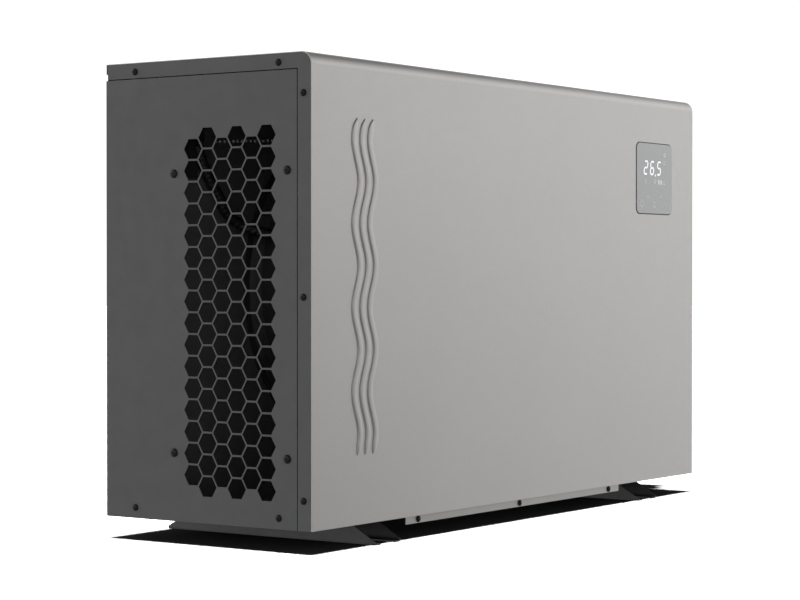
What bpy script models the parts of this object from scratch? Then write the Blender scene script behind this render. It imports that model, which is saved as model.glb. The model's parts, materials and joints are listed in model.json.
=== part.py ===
"""Side-blowing swimming-pool heat pump in a sheet-metal case on two foot rails.

The unit's own frame has x from its left side to its right, y from its front to its back, and z up,
with z = 0 on the lower edge of the cover. One empty carries it into the world frame, whose origin
is on the ground under the middle of the whole machine.
"""
import math

import bmesh
import bpy
from mathutils import Matrix, Vector

# --- Driving dimensions, in metres ---------------------------------------------------------------
WIDTH, DEPTH, HEIGHT = 1.060, 0.352, 0.620
SHEET = 0.0012                    # casing sheet
GAP = 0.0003                      # clearance between touching pieces
SKIN = SHEET + GAP                # where a piece that lies behind a casing sheet begins
COVER_BEND = 0.017                # outer radius of the cover's front bend
COVER_LIP = 0.014                 # cover's turned-down rear lip

EDGE_TOP = 0.0214                 # height of the edge frame's top strip, from the cover's top
EDGE_FRONT = 0.0225               # width of its front strip, from the cover's face
EDGE_FLANGE = 0.016               # its inward flange
PANEL_JOINT = 0.0008              # open joint between edge frame and side panel
BACK = 0.3505                     # outer face of the rear panel
INNER_BACK = BACK - SKIN          # what lies inside the rear panel ends here

VENT_ROW_PITCH = 0.02907          # hexagon to hexagon up a column, centre to centre
VENT_COLUMN_PITCH = 0.02486
VENT_FLATS = 0.0264               # hexagon across its flats
VENT_MIDDLE = (0.1359, 0.2814)    # centre of the vent on the side panel, as y and z
VENT_COLUMNS = 6
VENT_ROWS = 17                    # hexagons in a long column; a short one has one less
BOLT_Y = (0.0398, 0.2311)
BOLT_Z = (0.0922, 0.4672)
BOLT_HEAD, SCREW_HEAD = 0.0059, 0.0047    # radii
BOLT_SHANK = 0.002
BOLT_HOLE = 0.0024

RAIL_HEIGHT = 0.030
RAIL_SPAN = (-0.004, 0.356)       # front toe and rear toe
RAIL_LEFT_X = 0.135
RAIL_WIDTH = 0.060
RAIL_WALL = 0.002
RAIL_LIP = 0.014
RAIL_TOE = 0.004                  # upright end of a toe, before it slopes back
RAIL_SLOPE = 0.577                # rise over run of the sloping ends

PAN_WALL = 0.0015
PAN_LOW = Vector((SKIN, 0.0030, SKIN))
PAN_HIGH = Vector((WIDTH - SKIN, INNER_BACK, 0.036))
PAN_FLOOR = PAN_LOW.z + PAN_WALL
TAB_X = (0.231, 0.829)            # fixing strip under the front
TAB_Y = 0.0117
TAB_DROP = 0.012
TAB_SCREW_X = (0.2614, 0.5291, 0.7965)
TAB_SCREW_Z = -0.0065

DISPLAY_LOW = (0.8650, 0.4298)    # touch display on the front, as x and z
DISPLAY_HIGH = (0.9845, 0.5445)
DISPLAY_CORNER = 0.010

WALL_TOP = 0.612                  # top of the inner walls
PARTITION_X = 0.772
BULKHEAD_Y = 0.236
WINDOW_LOW, WINDOW_HIGH = (0.045, 0.045), (0.765, 0.595)   # rear window for the coil
GUARD_COLUMNS, GUARD_ROWS = 16, 4
GUARD_BAR = 0.004
GUARD_DEPTH = 0.003

FAN_X, FAN_Z = 0.386, 0.315
ORIFICE = 0.213                   # throat radius of the inlet ring
FAN_TIP = 0.206
FAN_HUB = 0.055
FAN_BLADES = 5
FAN_BACK, FAN_FRONT = 0.004, 0.056   # distances of the hub's ends in front of the bulkhead
SHAFT = 0.006
BRACKET_AT = 0.072                # front face of the motor bracket, in front of the bulkhead

COIL_X = (0.045, 0.745)
COIL_Y = (0.298, 0.338)
COIL_Z = (0.040, 0.600)
HEADER_X = 0.757

COMPRESSOR = (0.880, 0.262)
COMPRESSOR_TOP = 0.315
ACCUMULATOR = (0.985, 0.262)
ACCUMULATOR_TOP = 0.250
EXCHANGER = (0.930, 0.110)
EXCHANGER_RADIUS = 0.072
EXCHANGER_Z = (0.040, 0.350)
EXCHANGER_CAP = 0.016
VALVE = (0.870, 0.305, 0.442)     # reversing valve
VALVE_STUB = 0.034                # from its axis to the end of a stub
STUB_PITCH = 0.022                # between its three lower stubs
EXPANSION = (0.800, 0.090)
EXPANSION_Z = (0.190, 0.250)
PIPE = 0.00635
GAS_CROSSING = (sum(COIL_Y) / 2, 0.376)      # y and z where the pipes pass the partition
LIQUID_CROSSING = (sum(COIL_Y) / 2, 0.150)

UNION_Z = {"inlet": 0.085, "outlet": 0.305}
PORT_BORE = 0.022
PORT_OUTER = 0.026
COLLAR = 0.036
SOCKET_BORE = 0.0251              # takes 50 mm pipe
SOCKET_OUTER = 0.0285
UNION_REACH = 0.070               # end of the socket outside the right panel
SWITCH_X = 1.032                  # flow switch on the inlet port
PADDLE_PIVOT_Z = 0.118
NUT_GROOVES = 10
GLAND_PLACE = (0.265, 0.360)      # y and z on the right side
GLAND_THREAD = 0.0100
DRAIN = (0.300, 0.270)
DRAIN_BORE = 0.008

SCREW_RISE = 0.0024
X_SPAN = (-GAP - SCREW_RISE, WIDTH + UNION_REACH)
Y_SPAN = RAIL_SPAN

# colour, roughness and metallic value of each finish
FINISHES = {
    "silver_paint": ((0.40, 0.39, 0.38), 0.42, 0.55),
    "dark_paint": ((0.080, 0.081, 0.082), 0.50, 0.20),
    "black_steel": ((0.016, 0.016, 0.017), 0.45, 0.30),
    "zinc_sheet": ((0.45, 0.46, 0.47), 0.40, 0.90),
    "black_plastic": ((0.018, 0.018, 0.020), 0.55, 0.0),
    "display_glass": ((0.38, 0.39, 0.40), 0.12, 0.0),
    "fin_aluminium": ((0.62, 0.64, 0.66), 0.35, 0.95),
    "copper": ((0.72, 0.36, 0.22), 0.30, 0.95),
    "brass": ((0.68, 0.52, 0.24), 0.32, 0.95),
    "titanium": ((0.42, 0.41, 0.39), 0.35, 0.95),
    "grey_pvc": ((0.20, 0.21, 0.22), 0.45, 0.0),
    "compressor_enamel": ((0.014, 0.014, 0.015), 0.32, 0.0),
    "circuit_board": ((0.02, 0.14, 0.06), 0.50, 0.0),
}

# Turns a flat outline, or the height of a turned piece, towards the named direction.
FACING = {
    "+X": Matrix(((0, 0, 1), (1, 0, 0), (0, 1, 0))),
    "-X": Matrix(((0, 0, -1), (-1, 0, 0), (0, 1, 0))),
    "-Y": Matrix(((1, 0, 0), (0, 0, -1), (0, 1, 0))),
    "+Z": Matrix.Identity(3),
}


# --- Making and placing --------------------------------------------------------------------------
def clear_scene():
    for thing in list(bpy.data.objects):
        bpy.data.objects.remove(thing, do_unlink=True)


def new_collection(name):
    group = bpy.data.collections.new(name)
    bpy.context.scene.collection.children.link(group)
    return group


def finish(slot):
    """The material of a finish, made on first use."""
    found = bpy.data.materials.get(slot)
    if found:
        return found
    colour, roughness, metallic = FINISHES[slot]
    made = bpy.data.materials.new(slot)
    made.use_nodes = True
    shader = made.node_tree.nodes["Principled BSDF"]
    shader.inputs["Base Color"].default_value = (*colour, 1.0)
    shader.inputs["Roughness"].default_value = roughness
    shader.inputs["Metallic"].default_value = metallic
    return made


def empty(name, location, parent=None):
    """An axis or frame that pieces hang from."""
    frame = bpy.data.objects.new(name, None)
    frame.empty_display_size = 0.05
    frame.location = location
    frame.parent = parent
    PIECES.objects.link(frame)
    return frame


def add(piece, slot, parent):
    """Put a finished piece into the model."""
    if piece.name not in PIECES.objects:
        PIECES.objects.link(piece)
    piece.parent = parent
    piece.data.materials.clear()
    piece.data.materials.append(finish(slot))
    return piece


def shape(piece, tool, operation="DIFFERENCE"):
    """Cut a piece with a tool, or join the tool to it; both are in the same parent frame."""
    if tool.name not in CUTTERS.objects:
        CUTTERS.objects.link(tool)
    tool.parent = piece.parent
    tool.hide_render = True
    tool.display_type = "WIRE"
    step = piece.modifiers.new(tool.name, "BOOLEAN")
    step.operation = operation
    step.solver = "EXACT"
    step.object = tool


def solidify(piece, thickness, offset=-1.0):
    wall = piece.modifiers.new("wall", "SOLIDIFY")
    wall.thickness = thickness
    wall.offset = offset
    wall.use_even_offset = True
    return piece


def from_bmesh(name, bm):
    mesh = bpy.data.meshes.new(name)
    bm.to_mesh(mesh)
    bm.free()
    return bpy.data.objects.new(name, mesh)


def turn(piece, facing, location):
    piece.matrix_world = Matrix.Translation(location) @ FACING[facing].to_4x4()
    return piece


def block(name, low, high, open_towards=None):
    """A box between two corners, with one side left off if it is to be a tray."""
    low, high = Vector(low), Vector(high)
    bm = bmesh.new()
    bmesh.ops.create_cube(bm, size=1.0)
    bmesh.ops.scale(bm, vec=high - low, verts=bm.verts)
    if open_towards:
        bm.normal_update()
        lid = [face for face in bm.faces if face.normal.dot(Vector(open_towards)) > 0.9]
        bmesh.ops.delete(bm, geom=lid, context="FACES_ONLY")
    piece = from_bmesh(name, bm)
    piece.location = (low + high) / 2
    return piece


def rod(name, facing, location, radius, length, sides=24):
    """A plain cylinder centred on its location."""
    bm = bmesh.new()
    bmesh.ops.create_cone(bm, cap_ends=True, segments=sides, radius1=radius, radius2=radius,
                          depth=length)
    return turn(from_bmesh(name, bm), facing, location)


def turned(name, profile, facing, location, steps=24, ring=False):
    """A profile of (radius, height) points, from the top down its outer side, turned about its axis."""
    bm = bmesh.new()
    points = [bm.verts.new((radius, 0.0, height)) for radius, height in profile]
    for first, second in zip(points, points[1:]):
        bm.edges.new((first, second))
    if ring:
        bm.edges.new((points[-1], points[0]))
    piece = turn(from_bmesh(name, bm), facing, location)
    screw = piece.modifiers.new("turn", "SCREW")
    screw.axis = "Z"
    screw.steps = steps
    screw.render_steps = steps
    screw.use_merge_vertices = True
    screw.merge_threshold = 0.00005
    return piece


def outline_curve(name, outlines, thickness, facing, location):
    """A plate from closed outlines: the first is its edge and the others are holes."""
    curve = bpy.data.curves.new(name, "CURVE")
    curve.dimensions = "2D"
    curve.fill_mode = "BOTH"
    curve.extrude = thickness / 2
    for outline in outlines:
        spline = curve.splines.new("POLY")
        spline.points.add(len(outline) - 1)
        for point, (across, up) in zip(spline.points, outline):
            point.co = (across, up, 0.0, 1.0)
        spline.use_cyclic_u = True
    return turn(bpy.data.objects.new(name, curve), facing, location)


def as_mesh(piece):
    """The solid mesh of a curve piece, so that it can be cut."""
    CUTTERS.objects.link(piece)
    bpy.context.view_layer.update()
    evaluated = piece.evaluated_get(bpy.context.evaluated_depsgraph_get())
    mesh = bpy.data.meshes.new_from_object(evaluated)
    bm = bmesh.new()
    bm.from_mesh(mesh)
    bmesh.ops.remove_doubles(bm, verts=bm.verts, dist=0.00002)
    bmesh.ops.recalc_face_normals(bm, faces=bm.faces)
    bm.to_mesh(mesh)
    bm.free()
    name, matrix = piece.name, piece.matrix_world.copy()
    bpy.data.objects.remove(piece, do_unlink=True)
    solid = bpy.data.objects.new(name, mesh)
    solid.matrix_world = matrix
    return solid


def bent_path(corners, bend, steps=4):
    """Straight runs between corners, joined by smooth bends."""
    corners = [Vector(corner) for corner in corners]
    points = [corners[0]]
    for before, corner, after in zip(corners, corners[1:], corners[2:]):
        start = corner + (before - corner).normalized() * bend
        end = corner + (after - corner).normalized() * bend
        for step in range(steps + 1):
            part = step / steps
            points.append(start.lerp(corner, part).lerp(corner.lerp(end, part), part))
    points.append(corners[-1])
    return points


def tube(name, points, radius):
    curve = bpy.data.curves.new(name, "CURVE")
    curve.dimensions = "3D"
    curve.bevel_depth = radius
    curve.bevel_resolution = 2
    curve.use_fill_caps = True
    spline = curve.splines.new("POLY")
    spline.points.add(len(points) - 1)
    for point, place in zip(spline.points, points):
        point.co = (*place, 1.0)
    return bpy.data.objects.new(name, curve)


# --- Outlines ------------------------------------------------------------------------------------
def circle(centre, radius, sides):
    angles = [2 * math.pi * (index + 0.5) / sides for index in range(sides)]
    return [(centre[0] + radius * math.cos(a), centre[1] + radius * math.sin(a)) for a in angles]


def arc(centre, radius, start, stop, steps=5):
    """Points on an arc between two angles in degrees, both ends included."""
    angles = [math.radians(start + (stop - start) * index / steps) for index in range(steps + 1)]
    return [(centre[0] + radius * math.cos(a), centre[1] + radius * math.sin(a)) for a in angles]


def rectangle(low, high):
    return [(low[0], low[1]), (high[0], low[1]), (high[0], high[1]), (low[0], high[1])]


def rounded_rectangle(low, high, radius, steps=4):
    points = []
    corners = ((high[0], high[1], 1, 1), (low[0], high[1], -1, 1),
               (low[0], low[1], -1, -1), (high[0], low[1], 1, -1))
    for quarter, (x, y, side, rise) in enumerate(corners):
        centre = (x - side * radius, y - rise * radius)
        points += arc(centre, radius, 90 * quarter, 90 * quarter + 90, steps)
    return points


def hexagon(centre, across_flats):
    """A hexagon with a flat top."""
    reach = across_flats / math.sqrt(3)
    angles = [math.pi * index / 3 for index in range(6)]
    return [(centre[0] + reach * math.cos(a), centre[1] + reach * math.sin(a)) for a in angles]


def vent_holes():
    """The honeycomb of the side vent: long and short columns in turn."""
    holes = []
    for column in range(VENT_COLUMNS):
        count = VENT_ROWS - column % 2
        across = VENT_MIDDLE[0] + (column - (VENT_COLUMNS - 1) / 2) * VENT_COLUMN_PITCH
        for row in range(count):
            up = VENT_MIDDLE[1] + (row - (count - 1) / 2) * VENT_ROW_PITCH
            holes.append(hexagon((across, up), VENT_FLATS))
    return holes


# --- Casing --------------------------------------------------------------------------------------
def front_top_cover(unit):
    """One sheet: the front, bent back over the top and turned down at the rear."""
    top = HEIGHT - COVER_BEND
    bend = arc((COVER_BEND, top), COVER_BEND, 180, 90, 6)
    profile = [(0.0, 0.0), *bend, (DEPTH, HEIGHT), (DEPTH, HEIGHT - COVER_LIP)]
    bm = bmesh.new()
    points = [bm.verts.new((0.0, y, z)) for y, z in profile]
    edges = [bm.edges.new(pair) for pair in zip(points, points[1:])]
    swept = bmesh.ops.extrude_edge_only(bm, edges=edges)["geom"]
    far = [item for item in swept if isinstance(item, bmesh.types.BMVert)]
    bmesh.ops.translate(bm, vec=(WIDTH, 0, 0), verts=far)
    bm.normal_update()
    bm.faces.ensure_lookup_table()
    if bm.faces[0].normal.y > 0:
        bmesh.ops.reverse_faces(bm, faces=bm.faces)
    cover = solidify(from_bmesh("front_top_cover", bm), SHEET)
    add(cover, "silver_paint", unit)
    low = [value - GAP for value in DISPLAY_LOW]
    high = [value + GAP for value in DISPLAY_HIGH]
    window = rounded_rectangle(low, high, DISPLAY_CORNER + GAP)
    shape(cover, as_mesh(outline_curve("display_window", [window], 0.02, "-Y", (0, 0, 0))))


def edge_frame(name, side_x, inward, unit):
    """The folded L-shaped edge of a side: a strip along the top and down the front, with a flange."""
    def outline(inset, overrun):
        front, top, back = SKIN + inset, HEIGHT - SKIN - inset, INNER_BACK - inset
        corner = arc((COVER_BEND, HEIGHT - COVER_BEND), COVER_BEND - SKIN - inset, 180, 90)
        inner_z, inner_y = HEIGHT - EDGE_TOP - overrun, EDGE_FRONT + overrun
        return [(front, -overrun), *corner, (back, top), (back, inner_z), (inner_y, inner_z),
                (inner_y, -overrun)]
    middle = side_x + inward * EDGE_FLANGE / 2
    frame = as_mesh(outline_curve(name, [outline(0, 0)], EDGE_FLANGE, "+X", (middle, 0, 0)))
    add(frame, "dark_paint", unit)
    reach = 0.030
    hollow_x = side_x + inward * (SHEET + reach / 2)
    hollow = outline_curve(name + "_hollow", [outline(SHEET, 0.010)], reach, "+X", (hollow_x, 0, 0))
    shape(frame, as_mesh(hollow))


def side_plate(name, side_x, inward, holes, unit):
    edge = rectangle((EDGE_FRONT + PANEL_JOINT, 0.0), (DEPTH, HEIGHT - EDGE_TOP - PANEL_JOINT))
    plate = outline_curve(name, [edge, *holes], SHEET, "+X", (side_x + inward * SHEET / 2, 0, 0))
    add(plate, "dark_paint", unit)


def side_panels(unit):
    bolts = [circle((y, z), BOLT_HOLE, 8) for y in BOLT_Y for z in BOLT_Z]
    side_plate("left_side_panel", 0.0, 1, vent_holes() + bolts, unit)
    ports = [circle((EXCHANGER[1], z), PORT_OUTER + 0.0015, 24) for z in UNION_Z.values()]
    gland = circle((GLAND_PLACE[0], GLAND_PLACE[1]), GLAND_THREAD + GAP, 16)
    side_plate("right_side_panel", WIDTH, -1, [*ports, gland], unit)


def rear_casing(unit):
    """Rear panel with its window, and the guard grid over the window."""
    edge = rectangle((SKIN, 0.0005), (WIDTH - SKIN, HEIGHT - SKIN - GAP))
    window = rounded_rectangle(WINDOW_LOW, WINDOW_HIGH, 0.012)
    panel = outline_curve("rear_panel", [edge, window], SHEET, "-Y", (0, BACK - SHEET / 2, 0))
    add(panel, "dark_paint", unit)
    overlap = 0.010
    low = Vector(WINDOW_LOW) - Vector((overlap, overlap))
    high = Vector(WINDOW_HIGH) + Vector((overlap, overlap))
    cell_width = (high.x - low.x - GUARD_BAR) / GUARD_COLUMNS
    cell_height = (high.y - low.y - GUARD_BAR) / GUARD_ROWS
    opening = Vector((cell_width - GUARD_BAR, cell_height - GUARD_BAR))
    holes = []
    for column in range(GUARD_COLUMNS):
        for row in range(GUARD_ROWS):
            corner = low + Vector((GUARD_BAR + column * cell_width, GUARD_BAR + row * cell_height))
            holes.append(rectangle(corner, corner + opening))
    edge = rectangle(low, high)
    middle = BACK + GAP + GUARD_DEPTH / 2
    guard = outline_curve("rear_coil_guard", [edge, *holes], GUARD_DEPTH, "-Y", (0, middle, 0))
    add(guard, "black_steel", unit)


def base_and_strip(unit):
    """Base pan with its front tab, the fixing strip over the tab, and the drain."""
    pan = solidify(block("base_pan", PAN_LOW, PAN_HIGH, open_towards=(0, 0, 1)), PAN_WALL)
    add(pan, "zinc_sheet", unit)
    tab_back = TAB_Y + SKIN
    inset = 0.004
    tab_low = (TAB_X[0] + inset, tab_back, -TAB_DROP)
    tab_high = (TAB_X[1] - inset, tab_back + PAN_WALL, SKIN + 0.001)
    shape(pan, block("pan_tab", tab_low, tab_high), "UNION")
    shape(pan, rod("drain_hole", "+Z", (*DRAIN, 0), DRAIN_BORE + 0.0035, 0.02))
    strip_face = TAB_Y + SHEET
    profile = [(SKIN, 0.0), (TAB_Y, 0.0), (TAB_Y, -TAB_DROP), (strip_face, -TAB_DROP),
               (strip_face, SHEET), (SKIN, SHEET)]
    middle = (TAB_X[0] + TAB_X[1]) / 2
    length = TAB_X[1] - TAB_X[0]
    strip = as_mesh(outline_curve("front_fixing_strip", [profile], length, "+X", (middle, 0, 0)))
    add(strip, "silver_paint", unit)
    for number, x in enumerate(TAB_SCREW_X, 1):
        hole = rod(f"strip_screw_hole_{number}", "-Y", (x, TAB_Y, TAB_SCREW_Z), BOLT_HOLE, 0.02, 8)
        shape(strip, hole)
        shape(pan, hole)
        screw(f"strip_screw_{number}", "-Y", (x, TAB_Y - GAP, TAB_SCREW_Z), SCREW_HEAD, unit)
    flange, outer, reach = 0.016, DRAIN_BORE + 0.003, -0.020
    seat, rim = PAN_FLOOR + GAP, PAN_FLOOR + 0.002
    spigot = [(flange, rim), (flange, seat), (outer, seat), (outer, reach),
              (DRAIN_BORE, reach), (DRAIN_BORE, rim)]
    add(turned("drain_spigot", spigot, "+Z", (*DRAIN, 0), 20, ring=True), "black_plastic", unit)


def foot_rail(name, left_x, unit):
    """A channel open at the bottom and ends, with inward lips and sloping toes."""
    top = SKIN - GAP
    right_x = left_x + RAIL_WIDTH
    lip = RAIL_LIP - RAIL_WALL
    bottom, inner_top = -RAIL_HEIGHT, top - RAIL_WALL
    section = [
        (left_x, top), (left_x, bottom),
        (left_x + RAIL_LIP, bottom), (left_x + RAIL_LIP, bottom + RAIL_WALL),
        (left_x + RAIL_WALL, bottom + RAIL_WALL), (left_x + RAIL_WALL, inner_top),
        (right_x - RAIL_WALL, inner_top), (right_x - RAIL_WALL, bottom + RAIL_WALL),
        (right_x - RAIL_WALL - lip, bottom + RAIL_WALL), (right_x - RAIL_WALL - lip, bottom),
        (right_x, bottom), (right_x, top),
    ]
    front, back = RAIL_SPAN
    rail = as_mesh(outline_curve(name, [section], back - front, "-Y", (0, (front + back) / 2, 0)))
    add(rail, "black_steel", unit)
    toe = bottom + RAIL_TOE
    run = 0.10
    over = 0.01
    place = (left_x + RAIL_WIDTH / 2, 0, 0)
    for end, inward, word in ((front, 1, "front"), (back, -1, "rear")):
        outside, inside = end - inward * over, end + inward * run
        high = toe + run * RAIL_SLOPE
        wedge = [(outside, toe - over * RAIL_SLOPE), (inside, high), (outside, high)]
        slope = outline_curve(f"{name}_{word}_slope", [wedge], RAIL_WIDTH + 2 * over, "+X", place)
        shape(rail, as_mesh(slope))


def screw(name, facing, location, radius, unit):
    """A domed screw: its head rests on the sheet and its shank goes through it."""
    length = 0.006
    head = [(0.0, SCREW_RISE), (radius * 0.55, SCREW_RISE * 0.9), (radius * 0.88, SCREW_RISE * 0.6),
            (radius, SCREW_RISE * 0.2), (radius, 0.0)]
    shank = [(BOLT_SHANK, 0.0), (BOLT_SHANK, -length), (0.0, -length)]
    add(turned(name, head + shank, facing, location, 12), "black_steel", unit)


def grille_bolts(unit):
    for row, z in enumerate(BOLT_Z):
        for column, y in enumerate(BOLT_Y):
            screw(f"grille_bolt_{2 * row + column + 1}", "-X", (-GAP, y, z), BOLT_HEAD, unit)


# --- Display and electrics -----------------------------------------------------------------------
def display(unit):
    corners = rounded_rectangle(DISPLAY_LOW, DISPLAY_HIGH, DISPLAY_CORNER)
    thick, proud = 0.0028, 0.0003
    glass = outline_curve("display_glass", [corners], thick, "-Y", (0, thick / 2 - proud, 0))
    add(glass, "display_glass", unit)
    border, depth, wall = 0.010, 0.0132, 0.002
    front = thick - proud + GAP
    low = (DISPLAY_LOW[0] - border, front, DISPLAY_LOW[1] - border)
    high = (DISPLAY_HIGH[0] + border, front + depth, DISPLAY_HIGH[1] + border)
    housing = solidify(block("display_housing", low, high, open_towards=(0, -1, 0)), wall)
    add(housing, "black_plastic", unit)


def electrics(unit):
    low, high = Vector((0.795, 0.060, 0.415)), Vector((1.045, 0.150, 0.590))
    box = solidify(block("electrical_box", low, high, open_towards=(0, -1, 0)), SHEET)
    add(box, "zinc_sheet", unit)
    rim = 0.010
    board_low = (low.x + rim, high.y - rim - 0.0016, low.z + rim)
    board_high = (high.x - rim, high.y - rim, high.z - rim)
    add(block("control_board", board_low, board_high), "circuit_board", unit)


def right_side_fittings(unit):
    """Terminal cover and cable gland on the right side."""
    outer = WIDTH + GAP
    low, high = (outer, 0.205, 0.400), (outer + 0.014, 0.325, 0.560)
    cover = solidify(block("terminal_cover", low, high, open_towards=(-1, 0, 0)), SHEET)
    add(cover, "dark_paint", unit)
    y, z = GLAND_PLACE
    bore = 0.0055
    profile = [
        (0.0085, 0.026), (0.0115, 0.022), (0.0125, 0.012), (0.0125, 0.008), (0.014, 0.007), (0.014, 0.0),
        (GLAND_THREAD, 0.0), (GLAND_THREAD, -0.012), (bore, -0.012), (bore, 0.026),
    ]
    add(turned("power_cable_gland", profile, "+X", (outer, y, z), 16, ring=True), "black_plastic", unit)


# --- Inner walls, fan and evaporator -------------------------------------------------------------
def inner_walls(unit):
    low, high = (0.0050, PAN_FLOOR + GAP), (0.3470, WALL_TOP)
    holes = [circle((y, z), PIPE + 0.004, 16) for y, z in (GAS_CROSSING, LIQUID_CROSSING)]
    wall = outline_curve("partition_wall", [rectangle(low, high), *holes], SHEET, "+X", (PARTITION_X, 0, 0))
    add(wall, "zinc_sheet", unit)
    edge = rectangle((0.0036, PAN_FLOOR + GAP), (PARTITION_X - SKIN, WALL_TOP))
    orifice = circle((FAN_X, FAN_Z), ORIFICE + 0.013, 40)
    add(outline_curve("fan_bulkhead", [edge, orifice], SHEET, "-Y", (0, BULKHEAD_Y, 0)), "zinc_sheet", unit)
    front = SHEET / 2 + GAP
    throat = 0.046
    flare = arc((ORIFICE + 0.018, front + 0.018), 0.018, 180, 270, 3)
    place = (FAN_X, BULKHEAD_Y, FAN_Z)
    ring = turned("fan_inlet_ring", [(ORIFICE, throat), *flare], "-Y", place, 40)
    add(solidify(ring, 0.0014, offset=1.0), "black_plastic", unit)


def fan_blade(name):
    """A swept blade: its chord grows and its pitch falls from the root to the tip."""
    bm = bmesh.new()
    bmesh.ops.create_grid(bm, x_segments=5, y_segments=4, size=0.5)
    root = FAN_HUB - 0.0015
    depth = FAN_FRONT - FAN_BACK - 0.008
    for point in bm.verts:
        out, along = point.co.x + 0.5, point.co.y
        radius = root + (FAN_TIP - root) * out
        angle = math.radians(20 * out ** 1.5 + (46 + 8 * out) * along)
        height = (FAN_BACK + FAN_FRONT) / 2 + depth * along * (1 - 0.25 * out)
        point.co = (radius * math.cos(angle), radius * math.sin(angle), height)
    return solidify(from_bmesh(name, bm), 0.0028, offset=0.0)


def fan(unit):
    """Fan on the axis empty: hub with blades, shaft and nut turn; motor and bracket stand still."""
    axis = empty("fan_axis", (FAN_X, BULKHEAD_Y, FAN_Z), unit)
    back, front, wall = FAN_BACK, FAN_FRONT, 0.004
    bore, boss, web = SHAFT + GAP, 0.016, back + 0.014
    hub = [
        (FAN_HUB - 0.003, front), (FAN_HUB, front - 0.003), (FAN_HUB, back), (FAN_HUB - wall, back),
        (FAN_HUB - wall, web), (bore, web), (bore, front - 0.012), (boss, front - 0.012), (boss, web + wall),
        (FAN_HUB - wall, web + wall), (FAN_HUB - wall, front),
    ]
    impeller = turned("fan_impeller", hub, "-Y", (0, 0, 0), 24, ring=True)
    add(impeller, "black_plastic", axis)
    for number in range(FAN_BLADES):
        blade = fan_blade(f"fan_blade_{number + 1}")
        spin = Matrix.Rotation(2 * math.pi * number / FAN_BLADES, 4, "Z")
        blade.matrix_world = FACING["-Y"].to_4x4() @ spin
        shape(impeller, blade, "UNION")
    shaft_span = (back + 0.002, 0.135)
    shaft_middle = -(shaft_span[0] + shaft_span[1]) / 2
    shaft = rod("fan_shaft", "-Y", (0, shaft_middle, 0), SHAFT, shaft_span[1] - shaft_span[0], 16)
    add(shaft, "zinc_sheet", axis)
    nut_height = 0.008
    rings = [hexagon((0, 0), 0.019), circle((0, 0), SHAFT + GAP, 16)]
    nut = outline_curve("fan_nut", rings, nut_height, "-Y", (0, -(web - GAP - nut_height / 2), 0))
    add(nut, "zinc_sheet", axis)
    motor_back, motor_front = BRACKET_AT + GAP, BRACKET_AT + 0.078
    motor = [
        (0.030, motor_front), (0.050, motor_front - 0.012), (0.054, motor_front - 0.018),
        (0.054, motor_back + 0.006), (0.060, motor_back + 0.006), (0.060, motor_back),
        (bore, motor_back), (bore, motor_front),
    ]
    add(turned("fan_motor", motor, "-Y", (FAN_X, BULKHEAD_Y, FAN_Z), 24, ring=True), "black_steel", unit)
    post, gap_between = 0.022, 0.050
    half = gap_between / 2 + post
    wider, tall = half + 0.012, 0.072
    plate = rectangle((FAN_X - wider, FAN_Z - tall), (FAN_X + wider, FAN_Z + tall))
    floor, roof = PAN_FLOOR + GAP, WALL_TOP
    inner, low, high = gap_between / 2, plate[0][1], plate[2][1]
    edge = [
        (FAN_X - half, floor), (FAN_X - inner, floor), (FAN_X - inner, low), (FAN_X + inner, low),
        (FAN_X + inner, floor), (FAN_X + half, floor), (FAN_X + half, low), plate[1], plate[2],
        (FAN_X + half, high), (FAN_X + half, roof), (FAN_X + inner, roof), (FAN_X + inner, high),
        (FAN_X - inner, high), (FAN_X - inner, roof), (FAN_X - half, roof), (FAN_X - half, high),
        plate[3], plate[0], (FAN_X - half, low),
    ]
    hole = circle((FAN_X, FAN_Z), 0.012, 20)
    middle = BULKHEAD_Y - BRACKET_AT + 0.0015
    add(outline_curve("fan_motor_bracket", [edge, hole], 0.003, "-Y", (0, middle, 0)), "zinc_sheet", unit)


def evaporator(unit):
    low = (COIL_X[0], COIL_Y[0], COIL_Z[0])
    high = (COIL_X[1], COIL_Y[1], COIL_Z[1])
    add(block("evaporator_fins", low, high), "fin_aluminium", unit)
    margin = 0.005
    for name, x in (("left", COIL_X[0] - 0.0015), ("right", COIL_X[1] + 0.0015)):
        edge = rectangle((COIL_Y[0] - margin, PAN_FLOOR + GAP), (COIL_Y[1] + margin, WALL_TOP))
        sheet = outline_curve(f"evaporator_{name}_end_plate", [edge], 0.002, "+X", (x, 0, 0))
        add(sheet, "zinc_sheet", unit)
    y = sum(COIL_Y) / 2
    add(tube("evaporator_header", [(HEADER_X, y, 0.080), (HEADER_X, y, 0.560)], 0.008), "copper", unit)


# --- Refrigerant circuit -------------------------------------------------------------------------
def compressor(unit):
    x, y = COMPRESSOR
    top, base = COMPRESSOR_TOP, 0.033
    profile = [
        (0.0, top), (0.030, top - 0.002), (0.050, top - 0.012), (0.060, top - 0.028), (0.062, top - 0.045),
        (0.062, base + 0.030), (0.059, base + 0.014), (0.046, base + 0.002), (0.0, base),
    ]
    add(turned("compressor", profile, "+Z", (x, y, 0)), "compressor_enamel", unit)
    edge = rounded_rectangle((x - 0.066, y - 0.066), (x + 0.066, y + 0.066), 0.022)
    add(outline_curve("compressor_foot", [edge], 0.003, "+Z", (0, 0, base - 0.004)), "black_steel", unit)
    x, y = ACCUMULATOR
    top = ACCUMULATOR_TOP
    profile = [(0.0, top), (0.018, top - 0.004), (0.028, top - 0.016), (0.030, top - 0.026), (0.030, 0.075),
               (0.026, 0.062), (0.0, 0.058)]
    add(turned("suction_accumulator", profile, "+Z", (x, y, 0), 24), "compressor_enamel", unit)


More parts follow.
